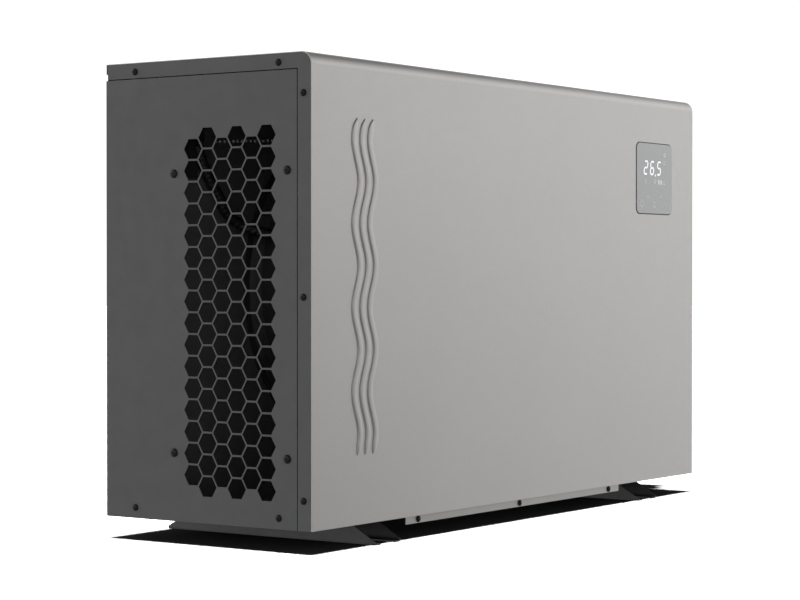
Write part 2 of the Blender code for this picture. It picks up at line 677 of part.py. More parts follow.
def reversing_valve(unit):
    x, y, z = VALVE
    body = rod("reversing_valve", "+X", VALVE, 0.0135, 0.096)
    add(body, "brass", unit)
    stub = VALVE_STUB
    stubs = {"top": (x, z + stub / 2)}
    for number in range(3):
        stubs[f"bottom_{number + 1}"] = (x + (number - 1) * STUB_PITCH, z - stub / 2)
    for word, (across, middle) in stubs.items():
        shape(body, rod(f"valve_{word}_stub", "+Z", (across, y, middle), PIPE + 0.001, stub, 16), "UNION")


def refrigerant_pipes(unit):
    """Copper runs between the compressor, the valves, the coil and the exchanger."""
    vx, vy, vz = VALVE
    above, below = vz + VALVE_STUB + GAP, vz - VALVE_STUB - GAP
    cap_top = EXCHANGER_Z[1] + EXCHANGER_CAP + 2 * GAP
    suction_z, gas_z = 0.352, 0.384
    coil_y = sum(COIL_Y) / 2
    header_side = HEADER_X + 0.008 + GAP
    ax, ay = ACCUMULATOR
    ex, ey = EXPANSION
    shell_x, shell_y = EXCHANGER
    over = above + 0.030
    off_axis = 0.030                   # of both pipes into the exchanger's top cap
    left, right = vx - STUB_PITCH, vx + STUB_PITCH
    turn_x = header_side + 0.030
    coil_gas, coil_liquid = GAS_CROSSING[1], LIQUID_CROSSING[1]
    runs = {
        "discharge_pipe": [(vx, COMPRESSOR[1], COMPRESSOR_TOP + GAP), (vx, COMPRESSOR[1], over),
                           (vx, vy, over), (vx, vy, above)],
        "suction_pipe": [(vx, vy, below), (vx, vy, suction_z), (ax, vy, suction_z), (ax, ay, suction_z),
                         (ax, ay, ACCUMULATOR_TOP + GAP)],
        "evaporator_gas_pipe": [(left, vy, below), (left, vy, coil_gas), (turn_x, vy, coil_gas),
                                (turn_x, coil_y, coil_gas), (header_side, coil_y, coil_gas)],
        "exchanger_gas_pipe": [(right, vy, below), (right, vy, gas_z), (shell_x, vy, gas_z),
                               (shell_x, shell_y + off_axis, gas_z), (shell_x, shell_y + off_axis, cap_top)],
        "exchanger_liquid_pipe": [(shell_x - off_axis, ey, cap_top), (shell_x - off_axis, ey, gas_z),
                                  (ex, ey, gas_z), (ex, ey, EXPANSION_Z[1] + GAP)],
        "evaporator_liquid_pipe": [(ex, ey, EXPANSION_Z[0] - GAP), (ex, ey, coil_liquid),
                                   (ex, coil_y, coil_liquid), (header_side, coil_y, coil_liquid)],
    }
    for name, corners in runs.items():
        add(tube(name, bent_path(corners, 0.012), PIPE), "copper", unit)
    low, high = EXPANSION_Z
    profile = [(0.0, high), (0.009, high), (0.009, high - 0.012), (0.014, high - 0.014), (0.014, low + 0.020),
               (0.009, low + 0.016), (0.009, low), (0.0, low)]
    add(turned("expansion_valve", profile, "+Z", (ex, ey, 0), 20), "brass", unit)


# --- Water circuit -------------------------------------------------------------------------------
def heat_exchanger(unit):
    """Plastic shell with two caps around a titanium coil."""
    x, y = EXCHANGER
    low, high = EXCHANGER_Z
    outer, inner = EXCHANGER_RADIUS, EXCHANGER_RADIUS - 0.006
    profile = [(outer, high), (outer, low), (inner, low), (inner, high)]
    shell = turned("exchanger_shell", profile, "+Z", (x, y, 0), 28, ring=True)
    add(shell, "grey_pvc", unit)
    for word, z in UNION_Z.items():
        shape(shell, rod(f"{word}_shell_hole", "+X", (x + outer, y, z), PORT_OUTER + GAP, 0.05))
    rim, spigot = outer + 0.006, 0.008
    plug, flange, roof = inner - GAP, 0.010, 0.010 - EXCHANGER_CAP
    cap = [(0.0, flange + spigot), (plug, flange + spigot), (plug, flange), (rim, flange), (rim, 0.002),
           (rim - 0.006, roof), (0.0, roof)]
    base = turned("exchanger_bottom_cap", cap, "+Z", (x, y, low - GAP - 0.010), 28)
    add(base, "grey_pvc", unit)
    top = [(radius, -height) for radius, height in reversed(cap)]
    add(turned("exchanger_top_cap", top, "+Z", (x, y, high + GAP + 0.010), 28), "grey_pvc", unit)
    turns, per_turn, helix = 5, 10, 0.045
    start, stop = low + 0.024, high - 0.024
    points = []
    for index in range(turns * per_turn + 1):
        angle = 2 * math.pi * index / per_turn
        rise = start + (stop - start) * index / (turns * per_turn)
        points.append((x + helix * math.cos(angle), y + helix * math.sin(angle), rise))
    add(tube("titanium_coil", points, 0.007), "titanium", unit)


def water_union(word, unit):
    """A port from the exchanger through the side, a socket for the pool pipe, and the nut between them."""
    place = (WIDTH, EXCHANGER[1], UNION_Z[word])
    axis = empty(f"{word}_union_axis", place, unit)
    collar_start, face = 0.0025, 0.022
    inner_end = -(WIDTH - EXCHANGER[0] - EXCHANGER_RADIUS) - 0.004
    port = [(COLLAR, face), (COLLAR, collar_start), (PORT_OUTER, collar_start), (PORT_OUTER, inner_end),
            (PORT_BORE, inner_end), (PORT_BORE, face)]
    port_piece = turned(f"{word}_port", port, "+X", (0, 0, 0), 24, ring=True)
    add(port_piece, "grey_pvc", axis)
    flange_start, flange_end = face + GAP, face + 0.007
    socket = [(SOCKET_OUTER, UNION_REACH), (SOCKET_OUTER, flange_end), (COLLAR - 0.001, flange_end),
              (COLLAR - 0.001, flange_start), (SOCKET_BORE, flange_start), (SOCKET_BORE, UNION_REACH)]
    add(turned(f"{word}_socket", socket, "+X", (0, 0, 0), 24, ring=True), "grey_pvc", axis)
    grip, nut_start, nut_end = 0.044, 0.0045, flange_end + 0.007
    around_collar, around_socket, shoulder = COLLAR + GAP, SOCKET_OUTER + GAP, flange_end + GAP
    nut = [(grip - 0.003, nut_end), (grip, nut_end - 0.003), (grip, nut_start), (around_collar, nut_start),
           (around_collar, shoulder), (around_socket, shoulder), (around_socket, nut_end)]
    nut_piece = turned(f"{word}_union_nut", nut, "+X", (0, 0, 0), 30, ring=True)
    add(nut_piece, "black_plastic", axis)
    for number in range(NUT_GROOVES):
        angle = 2 * math.pi * (number + 0.5) / NUT_GROOVES
        away = grip + 0.0035
        centre = ((nut_start + nut_end) / 2, away * math.cos(angle), away * math.sin(angle))
        shape(nut_piece, rod(f"{word}_nut_groove_{number + 1}", "+X", centre, 0.007, 0.05, 8))
    return port_piece


def flow_switch(inlet_port, unit):
    """A paddle that the water swings, hung in a small body on top of the inlet port."""
    y, z = EXCHANGER[1], UNION_Z["inlet"]
    seat = z + PORT_OUTER + GAP
    hole = rod("paddle_hole", "+Z", (SWITCH_X - WIDTH, 0, PORT_OUTER), 0.009, 0.012, 20)
    shape(inlet_port, hole)
    top, well = seat + 0.046, 0.0088
    profile = [(0.0, top), (0.010, top), (0.014, seat + 0.040), (0.014, seat), (well, seat),
               (well, seat + 0.026), (0.0, seat + 0.026)]
    add(turned("flow_switch_body", profile, "+Z", (SWITCH_X, y, 0), 20), "black_plastic", unit)
    pivot = empty("flow_paddle_axis", (SWITCH_X, y, PADDLE_PIVOT_Z), unit)
    paddle = block("flow_paddle", (-0.0008, -0.005, -0.046), (0.0008, 0.005, 0.005))
    add(paddle, "black_plastic", pivot)
    shape(paddle, rod("paddle_pin", "-Y", (0, 0, 0), 0.0016, 0.015, 12), "UNION")


clear_scene()
PIECES = new_collection("pool_heat_pump")
CUTTERS = new_collection("cutters")


def build():
    origin = (-sum(X_SPAN) / 2, -sum(Y_SPAN) / 2, RAIL_HEIGHT)
    unit = empty("unit_frame", origin)
    front_top_cover(unit)
    edge_frame("left_edge_frame", 0.0, 1, unit)
    edge_frame("right_edge_frame", WIDTH, -1, unit)
    side_panels(unit)
    rear_casing(unit)
    base_and_strip(unit)
    foot_rail("left_foot_rail", RAIL_LEFT_X, unit)
    foot_rail("right_foot_rail", WIDTH - RAIL_LEFT_X - RAIL_WIDTH, unit)
    grille_bolts(unit)
    display(unit)
    electrics(unit)
    right_side_fittings(unit)
    inner_walls(unit)
    fan(unit)
    evaporator(unit)
    compressor(unit)
    reversing_valve(unit)
    refrigerant_pipes(unit)
    heat_exchanger(unit)
    inlet_port = water_union("inlet", unit)
    water_union("outlet", unit)
    flow_switch(inlet_port, unit)


build()
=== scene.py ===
"""Looks of the side-blowing pool heat pump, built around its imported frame."""
import json
import math
import random

import bmesh
import bpy
from mathutils import Matrix, Vector


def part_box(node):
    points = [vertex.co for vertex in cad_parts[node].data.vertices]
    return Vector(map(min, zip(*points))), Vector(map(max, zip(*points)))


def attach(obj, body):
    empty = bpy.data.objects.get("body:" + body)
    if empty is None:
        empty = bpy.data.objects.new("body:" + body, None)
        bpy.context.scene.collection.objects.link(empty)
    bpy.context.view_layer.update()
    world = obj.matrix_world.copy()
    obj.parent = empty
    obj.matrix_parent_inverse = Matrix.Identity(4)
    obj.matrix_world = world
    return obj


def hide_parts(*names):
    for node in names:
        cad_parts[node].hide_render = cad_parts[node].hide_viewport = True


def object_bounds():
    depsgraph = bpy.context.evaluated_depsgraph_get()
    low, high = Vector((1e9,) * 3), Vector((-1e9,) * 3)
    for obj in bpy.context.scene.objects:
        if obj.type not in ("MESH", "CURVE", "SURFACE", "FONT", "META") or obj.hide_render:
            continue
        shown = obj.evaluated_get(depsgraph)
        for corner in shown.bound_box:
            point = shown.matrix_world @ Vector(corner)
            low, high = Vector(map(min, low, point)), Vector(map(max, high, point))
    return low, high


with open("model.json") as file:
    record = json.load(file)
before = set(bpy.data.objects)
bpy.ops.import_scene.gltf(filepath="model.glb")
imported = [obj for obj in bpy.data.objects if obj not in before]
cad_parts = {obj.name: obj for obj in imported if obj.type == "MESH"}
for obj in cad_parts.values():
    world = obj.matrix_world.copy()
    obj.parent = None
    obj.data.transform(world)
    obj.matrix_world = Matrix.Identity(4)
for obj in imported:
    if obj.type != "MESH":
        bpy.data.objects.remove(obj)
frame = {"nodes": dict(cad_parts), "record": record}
CAD_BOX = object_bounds()

# --- Places and sizes, in metres, in the unit's own frame -----------------------------------------
# x runs from the left side, y from the front face and z from the cover's lower edge.
COVER_LOW, COVER_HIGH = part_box("front_top_cover")
WIDTH, DEPTH, HEIGHT = COVER_HIGH - COVER_LOW
SHEET = 0.0012
SKIN = 0.0015                       # sheet and clearance
COVER_BEND = 0.017
COVER_LIP = 0.014
SIDE_LOW, SIDE_HIGH = (corner - COVER_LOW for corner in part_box("left_side_panel"))
PANEL_JOINT = 0.0008                # open joint between edge frame and side panel
EDGE_TOP = HEIGHT - SIDE_HIGH.z - PANEL_JOINT
EDGE_FRONT = SIDE_LOW.y - PANEL_JOINT
VENT_ROW_PITCH, VENT_COLUMN_PITCH, VENT_FLATS = 0.02907, 0.02486, 0.0264
VENT_MIDDLE = (0.1359, 0.2814)
BOLT_Y, BOLT_Z = (0.0398, 0.2311), (0.0922, 0.4672)
BOLT_HOLE, PORT_HOLE, GLAND_HOLE = 0.0024, 0.0275, 0.0103
SMALL_SCREW = (0.0047, 0.0025, 0.0021)      # radius and rise of the head, and reach of its recess
LARGE_SCREW = (0.0059, 0.0026, 0.0026)
EDGE_FLANGE = 0.016
PANEL_EDGE = 0.00022                # rounding of the side panels' cut edges
EDGE_SCREWS = ((0.054, 0.6074), (0.300, 0.6074), (0.0134, 0.5663), (0.0134, 0.3025), (0.0134, 0.0391))
SIDE_SCREWS = ((0.054, 0.0145), (0.300, 0.0145))
COIL_WINDOW = (0.045, 0.045), (0.765, 0.595)
LOUVRE_X, LOUVRE_LENGTH, LOUVRE_SLOT = (0.800, 0.920), 0.105, 0.004
LOUVRE_Z = [0.330 + 0.024 * row for row in range(9)]
RAIL_WALL, RAIL_LIP, RAIL_BEND = 0.002, 0.014, 0.0024
RAIL_TOE, RAIL_SLOPE = 0.004, 0.577
WAVE_RIBS, WAVE_WIDTH, WAVE_RELIEF = 3, 0.0105, 0.0017
WAVE_X, WAVE_Z = (0.088, 0.148), (0.092, 0.539)
WAVES = 4                           # full waves in a rib
WAVE_POINT = 1 / 28                 # share of a rib's length that each pointed end takes
WINDOW_CORNER, WINDOW_PROUD = 0.010, 0.0009
SOCKET_BORE, SOCKET_OUTER, SOCKET_COLLAR = 0.0251, 0.0285, 0.0350
PORT_COLLAR = 0.036                 # radius of a port's collar

# Brightness of the room by height, from straight down (0) through the horizon (0.5) to straight up (1).
SKY = ((0.0, 0.30), (0.46, 0.36), (0.53, 0.78), (0.60, 0.70), (0.67, 0.90), (0.76, 0.26), (0.86, 0.06),
       (1.0, 0.02))
# Soft lights: direction, full inside this angle, gone outside this angle, strength.
PANELS = (
    ((0.97, -0.26, 0.10), 8.0, 40.0, 1.00),
    ((-0.90, 0.30, 0.25), 15.0, 60.0, 0.22),
    ((-0.25, 0.95, 0.15), 10.0, 60.0, 0.80),
    ((0.66, -0.72, -0.22), 2.0, 24.0, -0.48),
)
FLOOR_LIGHT = 200.0
EYE, EYE_YAW, EYE_PITCH = (-2.3374, -1.7511, 0.3306), 55.39, -0.62
LENS = 102.1

DRAW = random.Random(7)             # turns of the screws' slots

FACING = {
    "+X": Matrix(((0, 0, 1), (1, 0, 0), (0, 1, 0))),
    "-X": Matrix(((0, 0, -1), (-1, 0, 0), (0, 1, 0))),
    "-Y": Matrix(((1, 0, 0), (0, 0, -1), (0, 1, 0))),
    "+Y": Matrix(((-1, 0, 0), (0, 0, 1), (0, 1, 0))),
    "+Z": Matrix.Identity(3),
}


def box(node):
    """A node's corners in the unit's own frame."""
    low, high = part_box(node)
    return low - COVER_LOW, high - COVER_LOW


def side_middle(node):
    """The middle of a node seen from the side, as y and z."""
    low, high = box(node)
    return (low.y + high.y) / 2, (low.z + high.z) / 2


# --- Shader expressions ---------------------------------------------------------------------------
class Wire:
    """A shader output; arithmetic on it adds Math nodes."""

    def __init__(self, paint, socket):
        self.paint = paint
        self.socket = socket

    def math(self, operation, first, second):
        return self.paint.node("ShaderNodeMath", {"operation": operation}, {0: first, 1: second})

    def __add__(self, other):
        return self.math("ADD", self, other)

    def __mul__(self, other):
        return self.math("MULTIPLY", self, other)

    def above(self, edge):
        return self.math("GREATER_THAN", self, edge)

    __radd__ = __add__
    __rmul__ = __mul__


def set_stops(ramp, stops):
    while len(ramp.elements) < len(stops):
        ramp.elements.new(0.5)
    for element, (position, shade) in zip(ramp.elements, stops):
        element.position = position
        element.color = (shade, shade, shade, 1.0)


class Nodes:
    """Adds nodes to one node tree."""

    def __init__(self, tree):
        self.tree = tree

    def node(self, kind, settings=None, inputs=None, output=0):
        """Any node: its settings first, then the values or links of its sockets."""
        made = self.tree.nodes.new(kind)
        for key, value in (settings or {}).items():
            if key == "stops":
                set_stops(made.color_ramp, value)
            else:
                setattr(made, key, value)
        for key, value in (inputs or {}).items():
            self.feed(made.inputs[key], value)
        return Wire(self, made.outputs[output])

    def feed(self, socket, value):
        if isinstance(value, Wire):
            self.tree.links.new(value.socket, socket)
        else:
            socket.default_value = value


class Paint(Nodes):
    """One material. What is the same all over is set on the shader's own sockets."""

    def __init__(self, name, colour, roughness, metallic=0.0, **others):
        self.material = bpy.data.materials.new(name)
        self.material.use_nodes = True
        super().__init__(self.material.node_tree)
        self.shader = self.tree.nodes["Principled BSDF"]
        self.colour = (*colour, 1.0)
        uniform = {"Base Color": self.colour, "Roughness": roughness, "Metallic": metallic}
        for socket, value in {**uniform, **others}.items():
            self.shader.inputs[socket.replace("_", " ")].default_value = value
        self.place = None

    def position(self):
        """The place on the piece, in metres."""
        if self.place is None:
            self.place = self.node("ShaderNodeTexCoord", output="Object")
        return self.place

    def stretched(self, across, along, up):
        """The place scaled differently each way, for grain that runs one way."""
        settings = {"operation": "MULTIPLY"}
        return self.node("ShaderNodeVectorMath", settings, {0: self.position(), 1: (across, along, up)})

    def noise(self, scale, detail=2.0, place=None):
        inputs = {"Vector": place or self.position(), "Scale": scale, "Detail": detail}
        return self.node("ShaderNodeTexNoise", inputs=inputs)

    def cells(self, scale, feature="F1", output="Distance"):
        inputs = {"Vector": self.position(), "Scale": scale}
        return self.node("ShaderNodeTexVoronoi", {"feature": feature}, inputs, output)

    def mix(self, factor, first, second):
        """A colour between two colours."""
        inputs = {0: factor, 6: first, 7: second}
        return self.node("ShaderNodeMix", {"data_type": "RGBA"}, inputs, output=2)

    def tint(self, factor, darkest, lightest):
        """The base colour, from darkest to lightest times itself."""
        shades = [tuple(part * share for part in self.colour[:3]) + (1.0,) for share in (darkest, lightest)]
        return self.mix(factor, *shades)

    def spread(self, factor, low, high):
        """The middle of a noise's range stretched from low to high."""
        inputs = {"Value": factor, "From Min": 0.3, "From Max": 0.7, "To Min": low, "To Max": high}
        return self.node("ShaderNodeMapRange", {"clamp": True}, inputs)

    def bump(self, height, distance, strength=1.0):
        inputs = {"Height": height, "Distance": distance, "Strength": strength}
        self.set("Normal", self.node("ShaderNodeBump", inputs=inputs))

    def set(self, socket, value):
        self.feed(self.shader.inputs[socket], value)


# --- Finishes -------------------------------------------------------------------------------------
def silver_paint(name="silver_paint", tone=1.0):
    paint = Paint(name, (0.445 * tone, 0.435 * tone, 0.422 * tone), 0.33, 0.55)
    broad = paint.noise(5.0, 3.0)
    flake = paint.cells(1500.0, output="Color")
    grain = paint.node("ShaderNodeSeparateColor", inputs={0: flake}, output=0)
    paint.set("Base Color", paint.tint(broad * 0.5 + grain * 0.5, 0.93, 1.07))
    paint.set("Roughness", paint.spread(paint.noise(60.0, 4.0), 0.31, 0.35))
    paint.bump(paint.noise(900.0, 2.0) + grain * 0.3, 0.00002, 0.5)
    return paint


def dark_paint():
    paint = Paint("dark_paint", (0.064, 0.0645, 0.066), 0.48)
    paint.set("Base Color", paint.tint(paint.noise(7.0, 4.0), 0.92, 1.10))
    paint.set("Roughness", paint.spread(paint.noise(40.0, 4.0), 0.44, 0.54))
    paint.bump(paint.noise(1100.0, 2.0), 0.00004, 0.6)
    return paint


def black_steel():
    paint = Paint("black_steel", (0.020, 0.020, 0.021), 0.42)
    paint.set("Base Color", paint.tint(paint.noise(25.0, 4.0), 0.75, 1.35))
    paint.set("Roughness", paint.spread(paint.noise(90.0, 3.0), 0.36, 0.50))
    paint.bump(paint.noise(1300.0, 2.0), 0.00004, 0.6)
    return paint


def blackened_screw():
    paint = Paint("blackened_screw", (0.004, 0.004, 0.004), 0.28, Specular_IOR_Level=0.22)
    paint.set("Base Color", paint.tint(paint.noise(400.0, 3.0), 0.6, 1.8))
    paint.set("Roughness", paint.spread(paint.noise(700.0, 3.0), 0.24, 0.42))
    paint.bump(paint.noise(2500.0, 2.0), 0.00002, 0.4)
    return paint


# Near-white heads: the pale colour paints small glints inside the plenum.
def painted_glint_white():
    paint = Paint("painted_glint_white", (0.93, 0.94, 0.95), 0.35, 0.2)
    paint.set("Base Color", paint.tint(paint.noise(500.0, 2.0), 0.9, 1.05))
    paint.set("Roughness", paint.spread(paint.noise(900.0, 2.0), 0.28, 0.42))
    return paint


def conduit_black():
    paint = Paint("conduit_black", (0.008, 0.008, 0.008), 0.50)
    inputs = {"Vector": paint.position(), "Scale": 60.0}
    ribs_and_painted_shade = paint.node("ShaderNodeTexWave", {"wave_type": "RINGS"}, inputs)
    # The colour follows the ribs: darker in the troughs as painted shade, lighter on the crests as a painted
    # highlight.
    paint.set("Base Color", paint.tint(ribs_and_painted_shade, 0.6, 1.3))
    paint.bump(ribs_and_painted_shade, 0.0008, 0.9)
    return paint


def black_plastic():
    paint = Paint("black_plastic", (0.019, 0.019, 0.021), 0.50)
    paint.set("Base Color", paint.tint(paint.noise(30.0, 3.0), 0.85, 1.20))
    paint.set("Roughness", paint.spread(paint.noise(120.0, 3.0), 0.44, 0.58))
    paint.bump(paint.cells(1800.0), 0.00005, 0.5)
    return paint


def zinc_sheet():
    paint = Paint("zinc_sheet", (0.50, 0.51, 0.52), 0.38, 0.9)
    spangle = paint.node("ShaderNodeSeparateColor", inputs={0: paint.cells(90.0, output="Color")}, output=0)
    paint.set("Base Color", paint.tint(spangle, 0.82, 1.12))
    paint.set("Roughness", paint.spread(spangle, 0.28, 0.46))
    paint.bump(paint.noise(500.0, 2.0), 0.00003, 0.4)
    return paint


def fin_aluminium():
    paint = Paint("fin_aluminium", (0.60, 0.62, 0.64), 0.36, 0.95)
    streak = paint.noise(1.0, 4.0, paint.stretched(500.0, 60.0, 8.0))
    paint.set("Base Color", paint.tint(streak, 0.75, 1.10))
    paint.set("Roughness", paint.spread(streak, 0.30, 0.48))
    return paint


def copper():
    paint = Paint("copper", (0.78, 0.37, 0.22), 0.26, 1.0)
    tarnish = paint.noise(45.0, 5.0)
    paint.set("Base Color", paint.mix(paint.spread(tarnish, 0.0, 0.7), paint.colour, (0.33, 0.15, 0.09, 1.0)))
    paint.set("Roughness", paint.spread(tarnish, 0.20, 0.45))
    paint.bump(paint.noise(300.0, 2.0), 0.00004, 0.3)
    return paint


def brass():
    paint = Paint("brass", (0.72, 0.55, 0.25), 0.28, 1.0)
    tarnish = paint.noise(60.0, 4.0)
    paint.set("Base Color", paint.mix(paint.spread(tarnish, 0.0, 0.5), paint.colour, (0.35, 0.24, 0.10, 1.0)))
    paint.set("Roughness", paint.spread(tarnish, 0.22, 0.42))
    paint.bump(paint.noise(1.0, 2.0, paint.stretched(80.0, 80.0, 1800.0)), 0.00002, 0.4)
    return paint


def compressor_enamel():
    paint = Paint("compressor_enamel", (0.013, 0.013, 0.014), 0.25, Coat_Roughness=0.10)
    paint.set("Base Color", paint.tint(paint.noise(18.0, 4.0), 0.7, 1.4))
    paint.set("Roughness", paint.spread(paint.noise(50.0, 4.0), 0.20, 0.36))
    paint.bump(paint.noise(220.0, 2.0), 0.00010, 0.4)
    return paint


def grey_pvc():
    paint = Paint("grey_pvc", (0.165, 0.170, 0.176), 0.42, Specular_IOR_Level=0.45)
    paint.set("Base Color", paint.tint(paint.noise(22.0, 4.0), 0.90, 1.10))
    paint.set("Roughness", paint.spread(paint.noise(70.0, 3.0), 0.36, 0.50))
    paint.bump(paint.noise(650.0, 2.0), 0.00004, 0.4)
    return paint


def circuit_board():
    paint = Paint("circuit_board", (0.015, 0.12, 0.05), 0.40)
    tracks = paint.cells(140.0, "DISTANCE_TO_EDGE").above(0.05)
    paint.set("Base Color", paint.mix(tracks, (0.04, 0.22, 0.09, 1.0), paint.colour))
    paint.bump(tracks, 0.00003, 0.5)
    return paint


def titanium():
    paint = Paint("titanium", (0.42, 0.41, 0.39), 0.32, 0.95)
    paint.set("Base Color", paint.tint(paint.noise(40.0, 4.0), 0.85, 1.12))
    paint.set("Roughness", paint.spread(paint.noise(120.0, 3.0), 0.26, 0.42))
    return paint


def display_glass():
    """Smoked window in the tone of the front, a little cooler, with faint handling marks."""
    paint = Paint("display_glass", (0.350, 0.358, 0.362), 0.16, Coat_Weight=0.6, Coat_Roughness=0.05)
    smear = paint.noise(35.0, 5.0)
    paint.set("Base Color", paint.tint(smear, 0.97, 1.03))
    paint.set("Roughness", paint.spread(smear, 0.13, 0.22))
    return paint


# Dark grey sheet for the inner walls: its darkness paints the shade inside the closed casing.
def painted_shade_sheet():
    paint = Paint("painted_shade_sheet", (0.085, 0.085, 0.088), 0.55)
    paint.set("Base Color", paint.tint(paint.noise(14.0, 4.0), 0.85, 1.15))
    paint.set("Roughness", paint.spread(paint.noise(80.0, 3.0), 0.48, 0.62))
    paint.bump(paint.noise(900.0, 2.0), 0.00004, 0.5)
    return paint


# Near-black foam: its darkness paints the shade inside the air plenum.
def painted_shade_foam():
    paint = Paint("painted_shade_foam", (0.012, 0.012, 0.013), 0.95)
    pores_and_painted_shade = paint.cells(450.0)
    # The colour follows the pores: darker in their hollows as painted shade.
    paint.set("Base Color", paint.tint(pores_and_painted_shade, 0.5, 1.5))
    paint.bump(pores_and_painted_shade, 0.0006, 0.8)
    return paint


def rubber_seal():
    paint = Paint("rubber_seal", (0.030, 0.030, 0.031), 0.60)
    paint.set("Base Color", paint.tint(paint.noise(90.0, 3.0), 0.8, 1.3))
    paint.bump(paint.noise(900.0, 2.0), 0.00004, 0.5)
    return paint


def lit_figure(name, glow):
    """White figures that shine through the window."""
    paint = Paint(name, (0.50, 0.51, 0.52), 0.50, Emission_Strength=glow)
    soft = paint.noise(220.0, 2.0)
    paint.set("Emission Color", paint.mix(paint.spread(soft, 0.0, 0.3), (1, 1, 1, 1), (0.85, 0.9, 1.0, 1)))
    return paint


def print_grey_painted_glow():
    """Touch marks printed in a tone just lighter than the window, with a faint painted glow."""
    # The weak white emission is a painted glow on the printed marks.
    glow = {"Emission_Strength": 0.10, "Emission_Color": (1, 1, 1, 1)}
    paint = Paint("print_grey_painted_glow", (0.62, 0.63, 0.635), 0.35, **glow)
    paint.set("Base Color", paint.tint(paint.noise(300.0, 2.0), 0.95, 1.05))
    return paint


def floor_paint():
    paint = Paint("studio_floor", (0.04, 0.04, 0.04), 0.9, Specular_IOR_Level=0.0)
    paint.set("Base Color", paint.tint(paint.noise(3.0, 3.0), 0.99, 1.01))
    return paint


PAINTS = {}


def material(maker, *options):
    """Each finish is made once."""
    key = (maker.__name__, *options)
    if key not in PAINTS:
        PAINTS[key] = maker(*options).material
    return PAINTS[key]


# --- Making pieces --------------------------------------------------------------------------------
def join_scene(piece):
    if piece.name not in bpy.context.scene.collection.objects:
        bpy.context.scene.collection.objects.link(piece)
    return piece


def present(piece, maker, body="casing", stands_for=(), sharp=35.0):
    """Give a finished piece its shading, material and body, and hide the CAD parts it stands for."""
    join_scene(piece)
    piece.data.materials.clear()
    piece.data.materials.append(material(*maker) if isinstance(maker, tuple) else material(maker))
    piece.data.shade_smooth()
    piece.data.set_sharp_from_angle(angle=math.radians(sharp))
    flats = piece.modifiers.new("flats", "WEIGHTED_NORMAL")
    flats.mode = "FACE_AREA"
    flats.weight = 100
    flats.keep_sharp = True
    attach(piece, body)
    if stands_for:
        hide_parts(*stands_for)
    return piece


def from_bmesh(name, bm, facing="+Z", place=(0, 0, 0)):
    mesh = bpy.data.meshes.new(name)
    bm.to_mesh(mesh)
    bm.free()
    return pose(bpy.data.objects.new(name, mesh), facing, place)


def pose(piece, facing, place):
    """Turn a piece that was made flat, and put it at a place in the unit's frame."""
    piece.matrix_world = Matrix.Translation(COVER_LOW + Vector(place)) @ FACING[facing].to_4x4()
    return piece


def settled(piece, *tools):
    """The piece with its modifiers applied, and its cutters gone."""
    join_scene(piece)
    bpy.context.view_layer.update()
    evaluated = piece.evaluated_get(bpy.context.evaluated_depsgraph_get())
    mesh = bpy.data.meshes.new_from_object(evaluated)
    name, matrix = piece.name, piece.matrix_world.copy()
    for thing in (piece, *tools):
        bpy.data.objects.remove(thing, do_unlink=True)
    bm = bmesh.new()
    bm.from_mesh(mesh)
    bmesh.ops.remove_doubles(bm, verts=bm.verts, dist=0.00001)
    bm.to_mesh(mesh)
    bm.free()
    made = bpy.data.objects.new(name, mesh)
    made.matrix_world = matrix
    return join_scene(made)


def cut(piece, *tools):
    for tool in tools:
        join_scene(tool)
        step = piece.modifiers.new(tool.name, "BOOLEAN")
        step.operation = "DIFFERENCE"
        step.solver = "EXACT"
        step.object = tool
    return piece


def softened(piece, width, segments=2, angle=30.0):
    """Round the piece's sharp edges."""
    edge = piece.modifiers.new("edges", "BEVEL")
    edge.width = width
    edge.segments = segments
    edge.limit_method = "ANGLE"
    edge.angle_limit = math.radians(angle)
    return piece


def walled(piece, thickness, offset=-1.0):
    wall = piece.modifiers.new("wall", "SOLIDIFY")
    wall.thickness = thickness
    wall.offset = offset
    wall.use_even_offset = True
    return piece


def plate(name, outlines, thickness, facing, place, edge=0.0):
    """A flat piece from closed outlines, the first its edge and the others holes, with rounded edges."""
    curve = bpy.data.curves.new(name, "CURVE")
    curve.dimensions = "2D"
    curve.fill_mode = "BOTH"
    curve.extrude = thickness / 2 - edge
    curve.bevel_depth = edge
    curve.bevel_resolution = 1
    curve.offset = -edge
    for outline in outlines:
        spline = curve.splines.new("POLY")
        spline.points.add(len(outline) - 1)
        for point, (across, up) in zip(spline.points, outline):
            point.co = (across, up, 0.0, 1.0)
        spline.use_cyclic_u = True
    return settled(pose(bpy.data.objects.new(name, curve), facing, place))


def block(name, low, high):
    bm = bmesh.new()
    bmesh.ops.create_cube(bm, size=1.0)
    low, high = Vector(low), Vector(high)
    bmesh.ops.scale(bm, vec=high - low, verts=bm.verts)
    return from_bmesh(name, bm, "+Z", (low + high) / 2)


def turned(name, profile, facing, place, steps=64, ring=False):
    """A profile of (radius, height) points, from the top down its outer side, turned about its axis."""
    bm = bmesh.new()
    points = [bm.verts.new((radius, 0.0, height)) for radius, height in profile]
    for first, second in zip(points, points[1:] + (points[:1] if ring else [])):
        bm.edges.new((first, second))
    piece = from_bmesh(name, bm, facing, place)
    screw = piece.modifiers.new("turn", "SCREW")
    screw.axis = "Z"
    screw.steps = steps
    screw.render_steps = steps
    screw.use_merge_vertices = True
    screw.merge_threshold = 0.00005
    return piece


def wires(name, runs, radius, sides=2):
    """Round wires along lists of points in the unit's frame, as one piece."""
    curve = bpy.data.curves.new(name, "CURVE")
    curve.dimensions = "3D"
    curve.bevel_depth = radius
    curve.bevel_resolution = sides
    curve.use_fill_caps = True
    for points in runs:
        spline = curve.splines.new("POLY")
        spline.points.add(len(points) - 1)
        for point, place in zip(spline.points, points):
            point.co = (*place, 1.0)
    return settled(pose(bpy.data.objects.new(name, curve), "+Z", (0, 0, 0)))


